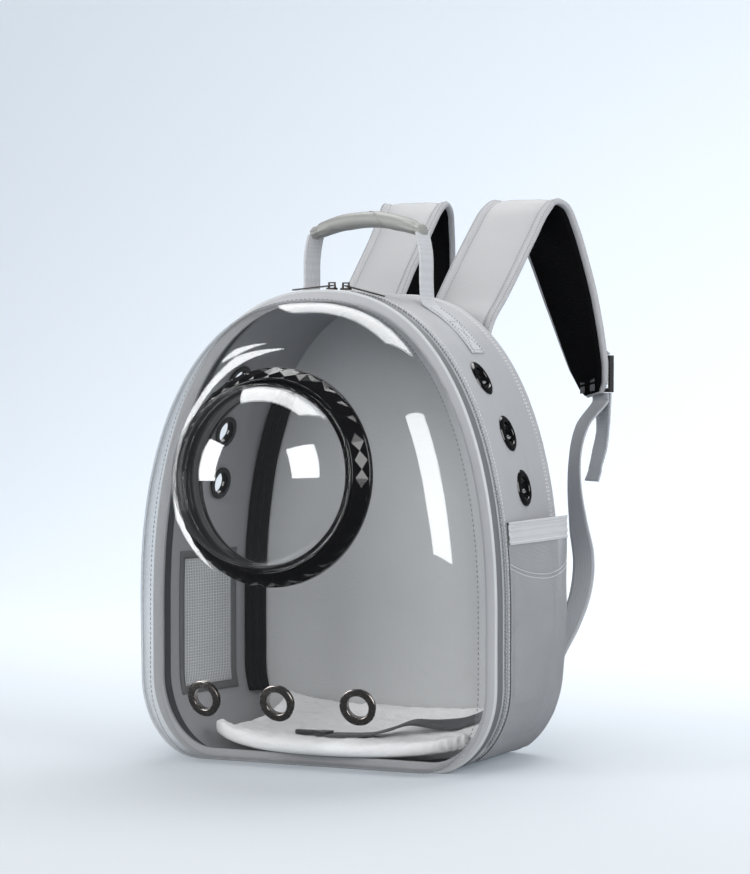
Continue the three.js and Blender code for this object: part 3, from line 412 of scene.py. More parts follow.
class Finish:
    """A procedural material and the values that feed its shader."""

    def __init__(self, name, colour=(0.5, 0.5, 0.5), rough=0.5, **constants):
        self.material = bpy.data.materials.new(name)
        self.material.use_nodes = True
        self.tree = self.material.node_tree
        self.shader = self.tree.nodes["Principled BSDF"]
        self.colour = (*colour, 1)
        self.shader.inputs["Base Color"].default_value = self.colour
        self.shader.inputs["Roughness"].default_value = rough
        for key, value in constants.items():
            self.shader.inputs[label(key)].default_value = value
        where = self.node("ShaderNodeTexCoord", output="Object")
        self.place = self.node(
            "ShaderNodeVectorMath", {"operation": "SCALE"}, {"Vector": where, "Scale": 1 / MM}
        )

    def node(self, kind, settings=None, sockets=None, output=0):
        made = self.tree.nodes.new(kind)
        for name, value in (settings or {}).items():
            setattr(made, name, value)
        for name, value in (sockets or {}).items():
            self.feed(made.inputs[name], value)
        return Value(self, made.outputs[output])

    def feed(self, socket, value):
        if isinstance(value, Value):
            self.tree.links.new(value.socket, socket)
        else:
            socket.default_value = value

    def flat(self, layer="flat"):
        """The two places on a piece's own flat pattern, in millimetres."""
        spot = self.node("ShaderNodeUVMap", {"uv_map": layer})
        parts = self.tree.nodes.new("ShaderNodeSeparateXYZ")
        self.feed(parts.inputs[0], spot)
        return Value(self, parts.outputs[0]), Value(self, parts.outputs[1])

    def axes(self):
        """The three places on the bag, in millimetres."""
        parts = self.tree.nodes.new("ShaderNodeSeparateXYZ")
        self.feed(parts.inputs[0], self.place)
        return [Value(self, output) for output in parts.outputs]

    def noise(self, scale, detail=3.0, rough=0.55):
        sockets = {"Vector": self.place, "Scale": scale, "Detail": detail, "Roughness": rough}
        return self.node("ShaderNodeTexNoise", {}, sockets)

    def pebble(self, scale):
        settings = {"feature": "SMOOTH_F1"}
        return self.node("ShaderNodeTexVoronoi", settings, {"Vector": self.place, "Scale": scale}, "Distance")

    def wave(self, value, pitch):
        """A wave from 0 to 1 with a pitch in millimetres."""
        return (value * (2 * math.pi / pitch)).math("SINE") * 0.5 + 0.5

    def blend(self, share, a, b):
        first, second = (c if isinstance(c, Value) else (*c, 1) for c in (a, b))
        sockets = {0: share, 6: first, 7: second}
        return self.node("ShaderNodeMix", {"data_type": "RGBA"}, sockets, 2)

    def shade(self, colour, value):
        """A colour made lighter or darker by a value."""
        sockets = {0: colour if isinstance(colour, Value) else colour[:3], "Scale": value}
        return self.node("ShaderNodeVectorMath", {"operation": "SCALE"}, sockets)

    def relief(self, height, depth):
        """Bumps of a height, as deep as so many millimetres."""
        sockets = {"Height": height, "Distance": depth * MM, "Strength": 1.0}
        self.feed(self.shader.inputs["Normal"], self.node("ShaderNodeBump", {}, sockets))

    def paint(self, **values):
        for key, value in values.items():
            self.feed(self.shader.inputs[label(key)], value)
        return self


def coated_cloth(name, colour, rough=0.52, grain=0.16, gloss=0.4):
    """Soft coated cloth with a fine pebbled grain."""
    f = Finish(name, colour, rough, specular_ior_level=gloss)
    fine = f.noise(1.3, 4)
    pebble = f.pebble(0.85)
    broad = f.noise(0.014, 3)
    f.relief(pebble * 0.7 + fine * 0.4, grain)
    colour = f.shade(f.colour, broad * 0.1 + fine * 0.05 + 0.925)
    return f.paint(base_color=colour, roughness=fine * 0.16 + (rough - 0.08))


def woven(name, colour, pitch, depth, ribs=0.0):
    """Woven tape: a basket weave on the flat pattern, with ribs along it."""
    f = Finish(name, colour, 0.85, sheen_weight=0.12)
    across, along = f.flat()
    weave = f.wave(across + along * 0.5, pitch) * f.wave(across - along * 0.5, pitch)
    long_ribs = f.wave(across, 3.1) if ribs else weave
    height = weave * (1 - ribs) + long_ribs * ribs
    fuzz = f.noise(0.9, 3)
    f.relief(height, depth)
    return f.paint(base_color=f.shade(f.colour, height * 0.3 + fuzz * 0.16 + 0.76))


def open_mesh(name, colour, pitch, hole, depth=0.3, sheen=0.1, gloss=0.25):
    """Woven mesh on the bias, open between its threads."""
    f = Finish(name, colour, 0.8, sheen_weight=sheen, specular_ior_level=gloss)
    across, along = f.flat()
    first = f.wave(across + along, pitch)
    second = f.wave(across - along, pitch)
    threads = first.math("MAXIMUM", second)
    opening = 1 - threads.between(0.42, 0.62)
    broad = f.noise(0.03, 3)
    f.relief(threads, depth)
    colour = f.shade(f.colour, threads * 0.35 + broad * 0.22 + 0.56)
    return f.paint(base_color=colour, alpha=1 - opening * hole)


def moulded(name, colour, rough):
    """Moulded plastic with faint handling marks."""
    f = Finish(name, colour, rough)
    smear = f.noise(0.06, 4)
    fine = f.noise(1.8, 2)
    f.relief(fine, 0.02)
    return f.paint(base_color=f.shade(f.colour, smear * 0.3 + 0.85), roughness=smear * 0.12 + (rough - 0.06))


def plated(name, colour, rough):
    """Plated metal, duller where it is handled."""
    f = Finish(name, colour, rough, metallic=1.0)
    smear = f.noise(0.25, 4)
    f.relief(f.noise(1.2, 2), 0.006)
    return f.paint(base_color=f.shade(f.colour, smear * 0.3 + 0.85), roughness=smear * 0.2 + (rough - 0.1))


def clear_sheet(name, tint, cover, edge):
    """A clear moulded sheet: it covers a little of what is behind it, and more at a slant."""
    f = Finish(name, tint, 0.03, metallic=1.0)
    slant = f.node("ShaderNodeLayerWeight", {}, {"Blend": 0.35}, "Facing")
    ripple = f.noise(0.016, 2)
    scuffs = f.noise(0.22, 5)
    f.relief(ripple, 0.25)
    rise = slant * slant * slant
    colour = f.shade(f.colour, rise * 0.6 + 1)
    return f.paint(alpha=rise * edge + cover, roughness=scuffs * 0.03 + 0.015, base_color=colour)


def plush(name, colour):
    """Short dense pile."""
    f = Finish(name, colour, 0.95, sheen_weight=0.5, sheen_roughness=0.5)
    tufts = f.noise(0.55, 5, 0.7)
    broad = f.noise(0.05, 2)
    f.relief(tufts, 1.6)
    return f.paint(base_color=f.shade(f.colour, tufts * 0.25 + broad * 0.1 + 0.8))


soft_grey = coated_cloth("soft_grey", (0.30, 0.305, 0.318))
panel_grey = coated_cloth("panel_grey", (0.47, 0.48, 0.49), rough=0.75, grain=0.5)
strip_grey = coated_cloth("strip_grey", (0.12, 0.124, 0.13))
lining_dark = coated_cloth("lining_dark", (0.05, 0.053, 0.058), rough=0.8, grain=0.4)
bead_grey = coated_cloth("bead_grey", (0.36, 0.37, 0.38), rough=0.4)
tape_grey = woven("tape_grey", (0.36, 0.375, 0.39), pitch=1.3, depth=0.2)
webbing_grey = woven("webbing_grey", (0.33, 0.345, 0.37), pitch=1.9, depth=0.3, ribs=0.45)
handle_weave = woven("handle_weave", (0.42, 0.43, 0.45), pitch=2.6, depth=0.45)
leash_weave = woven("leash_weave", (0.075, 0.078, 0.085), pitch=1.6, depth=0.25, ribs=0.5)
window_white = woven("window_white", (0.86, 0.88, 0.90), pitch=1.2, depth=0.1)
window_tape = woven("window_tape", (0.13, 0.135, 0.14), pitch=1.3, depth=0.2)
pocket_mesh = open_mesh("pocket_mesh", (0.27, 0.275, 0.29), 2.3, 0.65)
pocket_hem = woven("pocket_hem", (0.40, 0.41, 0.425), pitch=2.2, depth=0.35, ribs=0.4)
spacer_mesh = open_mesh("spacer_mesh", (0.004, 0.004, 0.0045), 2.8, 0.0, 0.5, sheen=0.0, gloss=0.05)
# Near-black cloth for the inner corner pleats: partly the cloth's own dark colour, partly painted shade of
# the inner back corner
fold_cloth_and_corner_shade = coated_cloth("fold_cloth_and_corner_shade", (0.006, 0.0062, 0.007), rough=0.7, grain=0.3, gloss=0.25)
thread_light = coated_cloth("thread_light", (0.62, 0.63, 0.65), rough=0.8)
thread_dark = coated_cloth("thread_dark", (0.10, 0.105, 0.11), rough=0.8)
thread_mid = coated_cloth("thread_mid", (0.19, 0.195, 0.20), rough=0.8)
gloss_black = moulded("gloss_black", (0.003, 0.003, 0.0035), 0.09)
satin_black = moulded("satin_black", (0.014, 0.014, 0.015), 0.34)
coil_grey = moulded("coil_grey", (0.16, 0.165, 0.175), 0.45)
dark_nickel = plated("dark_nickel", (0.30, 0.28, 0.265), 0.26)
slider_nickel = plated("slider_nickel", (0.07, 0.065, 0.06), 0.3)
clear_shell = clear_sheet("clear_shell", (0.60, 0.61, 0.62), 0.09, 0.6)
clear_dome = clear_sheet("clear_dome", (0.72, 0.73, 0.74), 0.1, 0.4)
plush_white = plush("plush_white", (0.90, 0.91, 0.92))


# Clear shell


def shell_rim(count):
    """Places round the shell's rim from its centre, let down at the base to near the ground."""
    stretch = (shell_centre - shell_base) / (shell_centre - shell_inset)
    places = [Vector((p.x, p.y - shell_centre)) for p, _ in outline(piping_front, shell_inset, count)[0]]
    return [Vector((p.x, p.y * (stretch if p.y < 0 else 1))) for p in places]


rim_table = sorted((math.atan2(p.y, p.x), p.length) for p in shell_rim(1440))


def rim_reach(angle):
    """How far the shell's rim lies from its centre, in a direction."""
    low, high = 0, len(rim_table) - 1
    while high - low > 1:
        middle = (low + high) // 2
        if rim_table[middle][0] < angle:
            low = middle
        else:
            high = middle
    (a, first), (b, second) = rim_table[low], rim_table[high]
    return mix(first, second, clamp((angle - a) / (b - a)))


def loop_reach(angle, share):
    """The distance to the loop that has shrunk to a share of the rim and rounds off to an oval."""
    across = half_front - shell_inset
    above, below = body_height - shell_inset - shell_centre, shell_centre - shell_base
    upright = above if math.sin(angle) > 0 else below
    oval = 1 / math.hypot(math.cos(angle) / across, math.sin(angle) / upright)
    return share * mix(rim_reach(angle), oval, 0.75 * ease(1 - share, 0, 0.3))


def with_pad(x, y, z):
    """The flat pad under the ring, blended into the shell."""
    upright = z - bubble_height
    radius = math.hypot(x, upright / math.cos(bubble_tilt))
    pad = bubble_y + upright * math.tan(bubble_tilt)
    return mix(y, pad, 1 - ease(radius, ring_radius + 3, ring_radius + 23))


def loop_depth(share):
    return shell_depth * max(0, 1 - share**shell_power) ** (1 / shell_power)


def shell_place(x, z):
    """The shell's outer face over a point of the front."""
    angle = math.atan2(z - shell_centre, x)
    distance = math.hypot(x, z - shell_centre)
    low, high = 0, 1
    for _ in range(24):
        middle = (low + high) / 2
        if loop_reach(angle, middle) < distance:
            low = middle
        else:
            high = middle
    return Vector((x, with_pad(x, piping_front - loop_depth(low), z), z))


def shell_normal(x, z):
    across = shell_place(x + 2, z) - shell_place(x - 2, z)
    up = shell_place(x, z + 2) - shell_place(x, z - 2)
    return across.cross(up).normalized()


def make_shell():
    columns, turns, steps = 216, 18, 14
    last_turn = math.radians(42)
    angles = [math.atan2(p.y, p.x) for p in shell_rim(columns)]

    def on_loop(angle, turn):
        share = math.cos(turn) ** (2 / shell_power)
        reach = loop_reach(angle, share)
        return reach * math.cos(angle), shell_centre + reach * math.sin(angle), share

    def place(u, v):
        angle = angles[round(u * columns) % columns]
        row = round(v * (turns + steps))
        if row <= turns:
            x, z, share = on_loop(angle, last_turn * (row / turns) ** 1.3)
            y = piping_front - 0.3 - loop_depth(share)
            return Vector((x, with_pad(x, y, z), z))
        x, z, _ = on_loop(angle, last_turn)
        turn = math.atan2(z - bubble_height, x)
        radius = ring_opening + 2 if row == turns + steps else ring_radius + 3
        share = min(1, (row - turns) / (steps - 1))
        x = mix(x, radius * math.cos(turn), share)
        z = mix(z, bubble_height + radius * math.sin(turn) * math.cos(bubble_tilt), share)
        return shell_place(x, z)

    bm = face_away(grid(columns, turns + steps, place, wrap=True), Vector((0, 0, 230)))
    made = piece("shell_moulding", bm, clear_shell, ["front_shell"], wall=1.5)
    apply_modifiers(made)
    cutter = bmesh.new()
    for x, z in front_eyelets:
        punch(cutter, stand(shell_place(x, z), shell_normal(x, z)))
    cut(made, cutter)
    thread = bmesh.new()
    path = []
    for angle in angles + angles[:1]:
        x, z, share = on_loop(angle, math.radians(4.5))
        path.append((Vector((x, piping_front - 0.3 - loop_depth(share) - 0.1, z)), shell_normal(x * 0.99, z)))
    sew(thread, path, 3.0, 1.4, 0.42)
    piece("shell_stitches", thread, thread_dark)


# Viewing dome and its ring

bubble_out = Vector((0, -math.cos(bubble_tilt), math.sin(bubble_tilt)))
bubble = stand(Vector((0, bubble_y, bubble_height)), bubble_out)


def cap(radius, rise, base, steps):
    """Half a dome's section from its apex to its edge."""
    sphere = (radius**2 + rise**2) / (2 * rise)
    spread = math.asin(min(1, radius / sphere))
    turns = [spread * step / steps for step in range(steps + 1)]
    return [(sphere * math.sin(t), base + rise - sphere * (1 - math.cos(t))) for t in turns]


def make_bubble():
    # The smooth skirt, lip and bore of the ring
    base = [(76, 0.3), (94.2, 0.3), (94.7, 1.2), (94.7, 6.0), (94.3, 7.0), (92.0, 7.4), (84.2, 17.2)]
    lip = [(84.9, 19.3), (84.5, 20.0), (83.2, 20.4), (82.1, 20.0), (81.8, 19.2), (81.8, 17)]
    lip += [(76.4, 17), (76, 16.4)]
    bm = lathe(base + lip, 180, Matrix.Identity(4))
    for face in bm.faces:
        face.smooth = True
    # The cut band: flat raised diamonds that touch at their ends, with hollows between them
    facets = 36
    foot, top, proud, hollow = Vector((94.3, 6.9)), Vector((84.8, 19.6)), 1.5, -0.9
    slope = (top - foot).normalized()
    outwards = Vector((slope.y, -slope.x))

    def circle(share, lift, turn):
        radius, height = foot.lerp(top, share) + outwards * lift
        angles = [(index + turn) / facets * 2 * math.pi for index in range(facets)]
        return [bm.verts.new((radius * math.cos(t), radius * math.sin(t), height)) for t in angles]

    outer, outer_dip = circle(0, 0, 0), circle(0, hollow, 0.5)
    low_tip, ends, high_tip = circle(0.12, proud, 0), circle(0.5, proud, 0.5), circle(0.88, proud, 0)
    inner, inner_dip = circle(1, 0, 0), circle(1, hollow, 0.5)
    for i in range(facets):
        j = (i + 1) % facets
        faces = [(low_tip[j], ends[j], high_tip[j], ends[i])]
        for rim, dip, tip in ((outer, outer_dip, low_tip), (inner, inner_dip, high_tip)):
            faces += [(rim[i], dip[i], tip[i]), (dip[i], rim[j], tip[j])]
            faces += [(tip[i], dip[i], ends[i]), (dip[i], tip[j], ends[i])]
        for corners in faces:
            bm.faces.new(corners).smooth = False
    bmesh.ops.recalc_face_normals(bm, faces=[f for f in bm.faces if not f.smooth])
    flat_faces = [f for f in bm.faces if not f.smooth]
    votes = sum(f.normal.dot(f.calc_center_median()) for f in flat_faces)
    if votes < 0:
        bmesh.ops.reverse_faces(bm, faces=flat_faces)
    bmesh.ops.transform(bm, matrix=bubble, verts=bm.verts)
    made = piece("dome_ring", bm, gloss_black, ["bubble_ring"], sharp=0)
    made.data.update()
    outer, inner = cap(81, dome_rise, 17.3, 30), cap(79.4, dome_rise - 1.6, 17.3, 30)
    profile = outer + [(80.2, 17.1)] + inner[::-1]
    dome = lathe(profile, 120, bubble, closed=False)
    piece("viewing_dome", dome, clear_dome, ["bubble_dome"], sharp=60)
    clamp_profile = rounded([(76, -1.8), (76, -6.8), (88, -6.8), (92, -1.8)], 1.2)
    retainer = lathe([tuple(p) for p in clamp_profile], 120, bubble)
    piece("dome_clamp", retainer, gloss_black, ["bubble_retainer"])


# Eyelets

# The eyelets' outer sections, as radius and height
flat_eyelet = [(10, -0.4), (10, 0.7), (10.3, 1.25), (10.9, 1.55), (11.5, 1.45), (12, 1.3)]
flat_eyelet += [(15.4, 1.5), (16.2, 1.2), (16.5, 0.6), (16.1, 0.35), (11.8, 0.3)]
domed_eyelet = [(10, -0.5), (10, 1.1), (10.3, 1.7), (11, 2.2), (12, 2.5), (13.2, 2.5)]
domed_eyelet += [(14.6, 2.1), (15.8, 1.4), (16.5, 0.7), (16.3, 0.3), (11.8, 0.2)]


def make_eyelet(name, node, place, normal, front, wall, finish):
    groove = wall + 2.3
    back = [(11.8, -groove), (14.6, -groove), (15, -groove - 0.4), (14.8, -groove - 1.2)]
    back += [(10.4, -groove - 1.3), (10, -groove - 0.8)]
    bm = lathe(front + back, 72, stand(place, normal))
    piece(name, bm, finish, [node], sharp=50)


def make_eyelets():
    for index, (x, z) in enumerate(front_eyelets):
        node = "front_eyelet_%d" % (index + 1)
        place, normal = shell_place(x, z), shell_normal(x, z)
        name = "low_eyelet_%d" % (index + 1)
        make_eyelet(name, node, place, normal, flat_eyelet, 1.5, dark_nickel)
    for word, hand in hands:
        for index, (y, z) in enumerate(side_eyelets):
            place, normal = side(y, z, 0.3, hand)
            node = "side_eyelet_%s_%d" % (word, index + 1)
            name = "gusset_eyelet_%s_%d" % (word, index + 1)
            make_eyelet(name, node, place, normal, domed_eyelet, 2, gloss_black)


# Front rim and zip


def make_rim():
    bead_y, coil_y = -94.95, -75
    bead = []
    for step in range(13):
        turn = math.radians(-95 + 190 * step / 12)
        bead.append(Vector((bead_y + 1.8 * math.sin(turn), 0.25 - 1.75 * math.cos(turn))))
    flange = [Vector(p) for p in ((-93.3, 1.5), (-93.4, 9), (-96.5, 9), (-96.6, 1.5))]
    last = len(bead) / (len(bead) + len(flange))
    bm = hoop(bead + flange, 360, paint=lambda u, v: 0 if v < last else 1)
    piece("piping", bm, [bead_grey, soft_grey], ["shell_piping"])
    strip = [(-92.8, 0.5), (-92.2, -0.1), (-89, -0.7), (-86, -0.9), (-83, -0.7), (-80.6, -0.1), (-80, 0.5)]
    strip = [Vector(p) for p in strip + [(-80, 2), (-92.8, 2)]]
    bm = hoop(strip, 360, paint=lambda u, v: 1 if v > 0.66 else 0)
    piece("front_binding", bm, [strip_grey, lining_dark], ["front_strip"])
    tape = [(-79.5, 0.9), (-79.2, 0.5), (-75, 0.6), (-70.6, 0.5), (-70.4, 0.9), (-70.4, 2), (-79.5, 2)]
    tape = [Vector(p) for p in tape]
    bm = hoop(tape, 360, paint=lambda u, v: 1 if v > 0.62 else 0)
    piece("zip_cloth", bm, [tape_grey, lining_dark], ["zip_tape"])
    # The coil: two rows of heads that mesh along the middle of the tape
    count = 2400
    places, total = outline(coil_y, 0, count)
    coil = bmesh.new()
    pitch = 1.5
    heads = int(total / pitch)
    for index in range(heads):
        place, normal = places[int(index / heads * count)]
        at_sliders = abs(place.x - slider_middle) < slider_gap and place.y > shell_centre
        if place.y < coil_start or at_sliders:
            continue
        along = Vector((-normal.y, 0, normal.x))
        out = Vector((normal.x, 0, normal.y))
        shift = 0.75 if index % 2 else -0.75
        matrix = Matrix((along * 0.72, Vector((0, 1.25, 0)), out * 0.85)).transposed().to_4x4()
        matrix.translation = Vector((place.x, coil_y + shift, place.y)) + out * 0.35
        bmesh.ops.create_icosphere(coil, subdivisions=1, radius=1, matrix=matrix)
    piece("zip_coil", coil, coil_grey, ["zip_teeth"])


# Cloth body


def wrinkle(point, scale, seed=0.0):
    """Smooth random folds from -1 to 1."""
    return noise.noise(Vector((point.x, point.y, point.z)) * scale + Vector((seed, seed, seed)))


def make_gusset():
    columns, rows = 300, 30
    loops = [outline(mix(rim_y + 0.2, panel_y - 0.3, row / rows), 0, columns) for row in range(rows + 1)]

    def place(u, v):
        row = round(v * rows)
        point, normal = loops[row][0][round(u * columns) % columns]
        y = mix(rim_y + 0.2, panel_y - 0.3, v)
        here = Vector((point.x, y, point.y))
        free = ease(point.y, 225, 260)
        puff = free * math.sin(math.pi * v) ** 0.6 * (0.9 + 1.1 * wrinkle(here, 0.016, 3))
        folds = free * math.sin(math.pi * v) * 0.9 * wrinkle(Vector((here.x, here.y * 2.2, here.z)), 0.03, 9)
        off = puff + folds - 1.0 * free * (1 - ease(v, 0, 0.03))
        return Vector((point.x + normal.x * off, y, max(0, point.y + normal.y * off)))

    bm = face_away(grid(columns, rows, place, (loops[0][1], panel_y - rim_y), wrap=True))
    made = piece("body_cloth", bm, soft_grey, ["gusset"], wall=cloth_wall)
    apply_modifiers(made)
    cutter = bmesh.new()
    for hand in (1, -1):
        for y, z in side_eyelets:
            punch(cutter, stand(*side(y, z, 0, hand)))
        size = [high - low for low, high in zip(window_low, window_high)]
        middle = [(low + high) / 2 for low, high in zip(window_low, window_high)]
        matrix = Matrix.Translation((hand * half_front, *middle)) @ Matrix.Diagonal((120, *size, 1))
        bmesh.ops.create_cube(cutter, size=1, matrix=matrix)
    cut(made, cutter)
    thread = bmesh.new()
    for y in (55.5, 59.5):
        path = [(skin(y, share / 720, 0.35), Vector((0, 0, 1))) for share in range(721)]
        ups = [(p, (p - Vector((0, p.y, 150))).normalized()) for p, _ in path]
        sew(thread, [row for row in ups if row[0].z > 215], 2.6, 1.0)
    for y in (-66.5,):
        path = [skin(y, share / 720, 0.3) for share in range(721)]
        sew(thread, [(p, (p - Vector((0, p.y, 150))).normalized()) for p in path if p.z > 12], 2.6, 1.0)
    piece("body_stitches", thread, thread_light)


def make_back_panel():
    columns, inner, outer = 240, 22, 26
    front, back = outline(panel_y, 0, columns)[0], outline(back_y, 0, columns)[0]
    middle = Vector((0, 190))
    rows = inner + 4 + outer

    def place(u, v):
        row = round(v * rows)
        column = round(u * columns) % columns
        if row <= inner:
            point = middle.lerp(front[column][0], (row / inner) ** 0.8)
            return Vector((point.x, panel_y, point.y))
        if row < inner + 4:
            share = (row - inner) / 4
            a, b = front[column], back[column]
            bulge = 0.8 * math.sin(math.pi * share)
            point = a[0].lerp(b[0], share) + a[1] * bulge * (a[0].y > 1)
            return Vector((point.x, mix(panel_y, back_y, share), point.y))
        share = ((rows - row) / outer) ** 0.8
        point = middle.lerp(back[column][0], share)
        edge = (1 - share) * (back[column][0] - middle).length
        sewn = 1.1 * math.exp(-(((edge - 11) / 2.2) ** 2))
        puff = 0.28 * ease(edge, 12, 40)
        return Vector((point.x, back_y + puff - sewn, point.y))

    bm = grid(columns, rows, place, wrap=True, paint=lambda u, v: 1 if v < inner / rows else 0)
    made = piece("back_pad", bm, [soft_grey, panel_grey], ["back_panel"])
    thread = bmesh.new()
    path = []
    for point, _ in back + back[:1]:
        inset = point - (point - middle).normalized() * 11
        path.append((Vector((inset.x, back_y - 0.9, inset.y)), Vector((0, 1, 0))))
    sew(thread, path, 3.0, 1.0)
    piece("back_stitches", thread, thread_light)


# Share of the net's cut that its threads count for, with their own edges
net_cover = 0.7
border_width = 7.5
net_inset = 0.2


def make_windows():
    low = [value + net_inset for value in window_low]
    high = [value - net_inset for value in window_high]
    middle = [(a + b) / 2 for a, b in zip(low, high)]
    cells = (28, 44)
    for word, hand in hands:
        def place(u, v):
            y, z = mix(low[0], high[0], u), mix(low[1], high[1], v)
            return side(y, z, -0.7, hand)[0]

        bm = face_away(grid(*cells, place, (high[0] - low[0], high[1] - low[1])))
        holes = bm.faces[:]
        bmesh.ops.inset_individual(bm, faces=holes, thickness=0.42, depth=0)
        bmesh.ops.delete(bm, geom=holes, context="FACES_ONLY")
        made = piece("window_net_" + word, bm, window_white, ["window_mesh_" + word], wall=0.7)
        size = ((high[0] - low[0]) * MM, (high[1] - low[1]) * MM)
        size[0] * size[1] * net_cover

        corners = [(low[0] - 0.5, low[1] - 0.5), (high[0] + 0.5, low[1] - 0.5)]
        corners += [(high[0] + 0.5, high[1] + 0.5), (low[0] - 0.5, high[1] + 0.5)]
        grown = []
        for y, z in corners:
            out = [math.copysign(border_width, spot - centre) for spot, centre in zip((y, z), middle)]
            grown.append((y + out[0], z + out[1]))

        def tape(u, v):
            turn = (u * 4) % 4
            index = int(turn)
            share = turn - index
            a = Vector(corners[index]).lerp(Vector(corners[(index + 1) % 4]), share)
            b = Vector(grown[index]).lerp(Vector(grown[(index + 1) % 4]), share)
            spot = a.lerp(b, v)
            return side(spot.x, spot.y, -2.15, hand)[0]

        bm = face_away(grid(160, 3, tape, (420, border_width), wrap=True))
        piece("window_border_" + word, bm, window_tape, wall=0.7)


# Side pockets

pocket_floor, pocket_top, pocket_seam = 9, 218, 198
pocket_front, pocket_back = rim_y + 5.04, panel_y - 0.9
pocket_width = 138
pocket_face = 2.0
pocket_bulge = 18
pocket_gather = 0.6
mouth_flare = 9


def pocket_line(across):
    """The height of the curved seam over the pocket."""
    return 180 - 12 * math.sin(across * math.pi)


def pocket_place(across, z, hand, off=0.0):
    """A place on the pocket's outer face: its share from front to back, and its height."""
    rise = (z - pocket_floor) / (pocket_top - pocket_floor)
    y = mix(pocket_front, pocket_back, across)
    full = math.sin(min(1, rise * 1.5) * math.pi / 2) * (1 - pocket_gather * ease(rise, 0.55, 1))
    corner = ease(across, 0.6, 1) * ease(rise, 0.6, 1)
    belly = pocket_bulge * ease(across, 0, 0.7) * math.sqrt(clamp((1 - across) / 0.25)) * full
    free = math.sin(math.pi * clamp(across)) ** 0.5 * ease(z, pocket_floor, 60)
    slack = 1.1 * noise.noise(Vector((y * 0.028 + z * 0.012, z * 0.02 - y * 0.016, 1.7))) * free
    crease = -1.3 * math.exp(-(((across - 0.56 - (z - 100) * 0.0006) * 134 / 2.6) ** 2))
    crease *= ease(z, 30, 70) * (1 - ease(z, 150, 185))
    line = (z - 62) - (y - 25) * -0.75
    fold = 1.1 * math.exp(-((line / 5) ** 2)) * ease(across, 0.45, 0.7) * (1 - ease(across, 0.85, 0.98))
    seam = z - pocket_line(across)
    seam_dip = -0.7 * math.exp(-((seam / 1.6) ** 2))
    out = pocket_face + belly + mouth_flare * corner + max(slack, -0.8) + crease + fold + seam_dip + off
    return side(y, z, out, hand)[0]


def make_pockets():
    for word, hand in hands:
        def sheet(u, v):
            return pocket_place(u, mix(pocket_floor, pocket_seam + 1, v), hand)

        bm = face_away(grid(64, 92, sheet, (136, 190)))
        made = piece("side_pocket_" + word, bm, pocket_mesh, ["pocket_" + word], wall=1.0)

        def band(u, v):
            turn = v * 2 * math.pi
            z = mix(pocket_seam, pocket_top, 0.5 - 0.5 * math.cos(turn))
            face = 0.55 if v < 0.5 else -1.3
            roll = 0.35 * math.sin(z * 1.05) if v < 0.5 else 0
            hem = 0.7 * ease(z, 212, 217) if v < 0.5 else -0.2
            return pocket_place(u, z, hand, face * abs(math.sin(turn)) ** 0.3 + roll + hem)

        bm = grid(72, 48, band, (pocket_width, 44), wrap=True)
        piece("pocket_hem_" + word, bm, pocket_hem, ["pocket_band_" + word], sharp=50)
        thread = bmesh.new()
        for z in (pocket_seam + 2.5, pocket_top - 3.5):
            path = [(pocket_place(s / 60, z, hand, 1.2), side(0, z, 0, hand)[1]) for s in range(61)]
            sew(thread, path, 2.4, 0.9)
        rows = [(s / 60, pocket_line(s / 60)) for s in range(61)]
        for shift in (-1.8, 1.8):
            path = [(pocket_place(u, z + shift, hand, 0.5), side(0, z, 0, hand)[1]) for u, z in rows]
            sew(thread, path, 2.4, 0.9)
        piece("pocket_stitches_" + word, thread, thread_light)


# Straps and webbing

strap_rows = [
    (0.327, 0.0, 0.862, 0, 1),
    (0.327, 0.0, 0.9, 0, 1),
    (0.327, 0.048, 0.943, 2, 1),
    (0.327, 0.157, 0.991, 6, 1),
    (0.333, 0.286, 1.053, 9, 1),
    (0.34, 0.457, 1.134, 9, 1),
    (0.352, 0.59, 1.195, 6, 1),
    (0.371, 0.676, 1.215, 2, 1),
    (0.4, 0.762, 1.203, -3, 1),
    (0.435, 0.829, 1.154, -9, 1),
    (0.475, 0.89, 1.08, -14, 1),
    (0.522, 0.933, 0.999, -19, 1),
    (0.57, 0.971, 0.911, -26, 0.97),
    (0.61, 0.99, 0.843, -31, 0.9),
    (0.636, 1.0, 0.8, -33, 0.68),
    (0.65, 1.0, 0.776, -34, 0.36),
]
webbing_rows = [
    (0.64, 0.886, 0.708, -42, 1),
    (0.65, 0.781, 0.646, -46, 1),
    (0.69, 0.695, 0.574, -42, 1),
    (0.77, 0.6, 0.486, -32, 1),
    (0.87, 0.486, 0.41, -26, 1),
    (0.93, 0.343, 0.338, -22, 1),
    (0.935, 0.2, 0.271, -14, 1),
    (0.906, 0.086, 0.214, -5, 1),
    (0.887, 0.014, 0.171, 0, 1),
    (0.881, 0.0, 0.129, 0, 1),
]
tail_rows = [
    (0.69, 1.029, 0.695, -40, 1),
    (0.68, 1.01, 0.65, -36, 1),
    (0.665, 0.99, 0.612, -40, 1),
    (0.645, 0.97, 0.578, -36, 1),
]


def row_place(row, seat):
    across, back, up, turn, width = row
    centre = Vector((across * half_back, back_y + 0.3 + seat + back * strap_reach, up * body_height))
    return centre, turn, width


strap_places = [row_place(row, 2.5) for row in strap_rows]


def lock_place(along, outwards):
    """A place in line with the ladder lock, by its distances down and outwards."""
    centre, facing, _ = strap_places[-3]
    across = Vector((math.cos(math.radians(facing)), math.sin(math.radians(facing)), 0))
    down = Vector((0, 0, -1))
    out = across.cross(down)
    middle = centre + out * 12 + across * 6 + down * 7
    return middle + down * along + out * outwards, lock_turn, 1


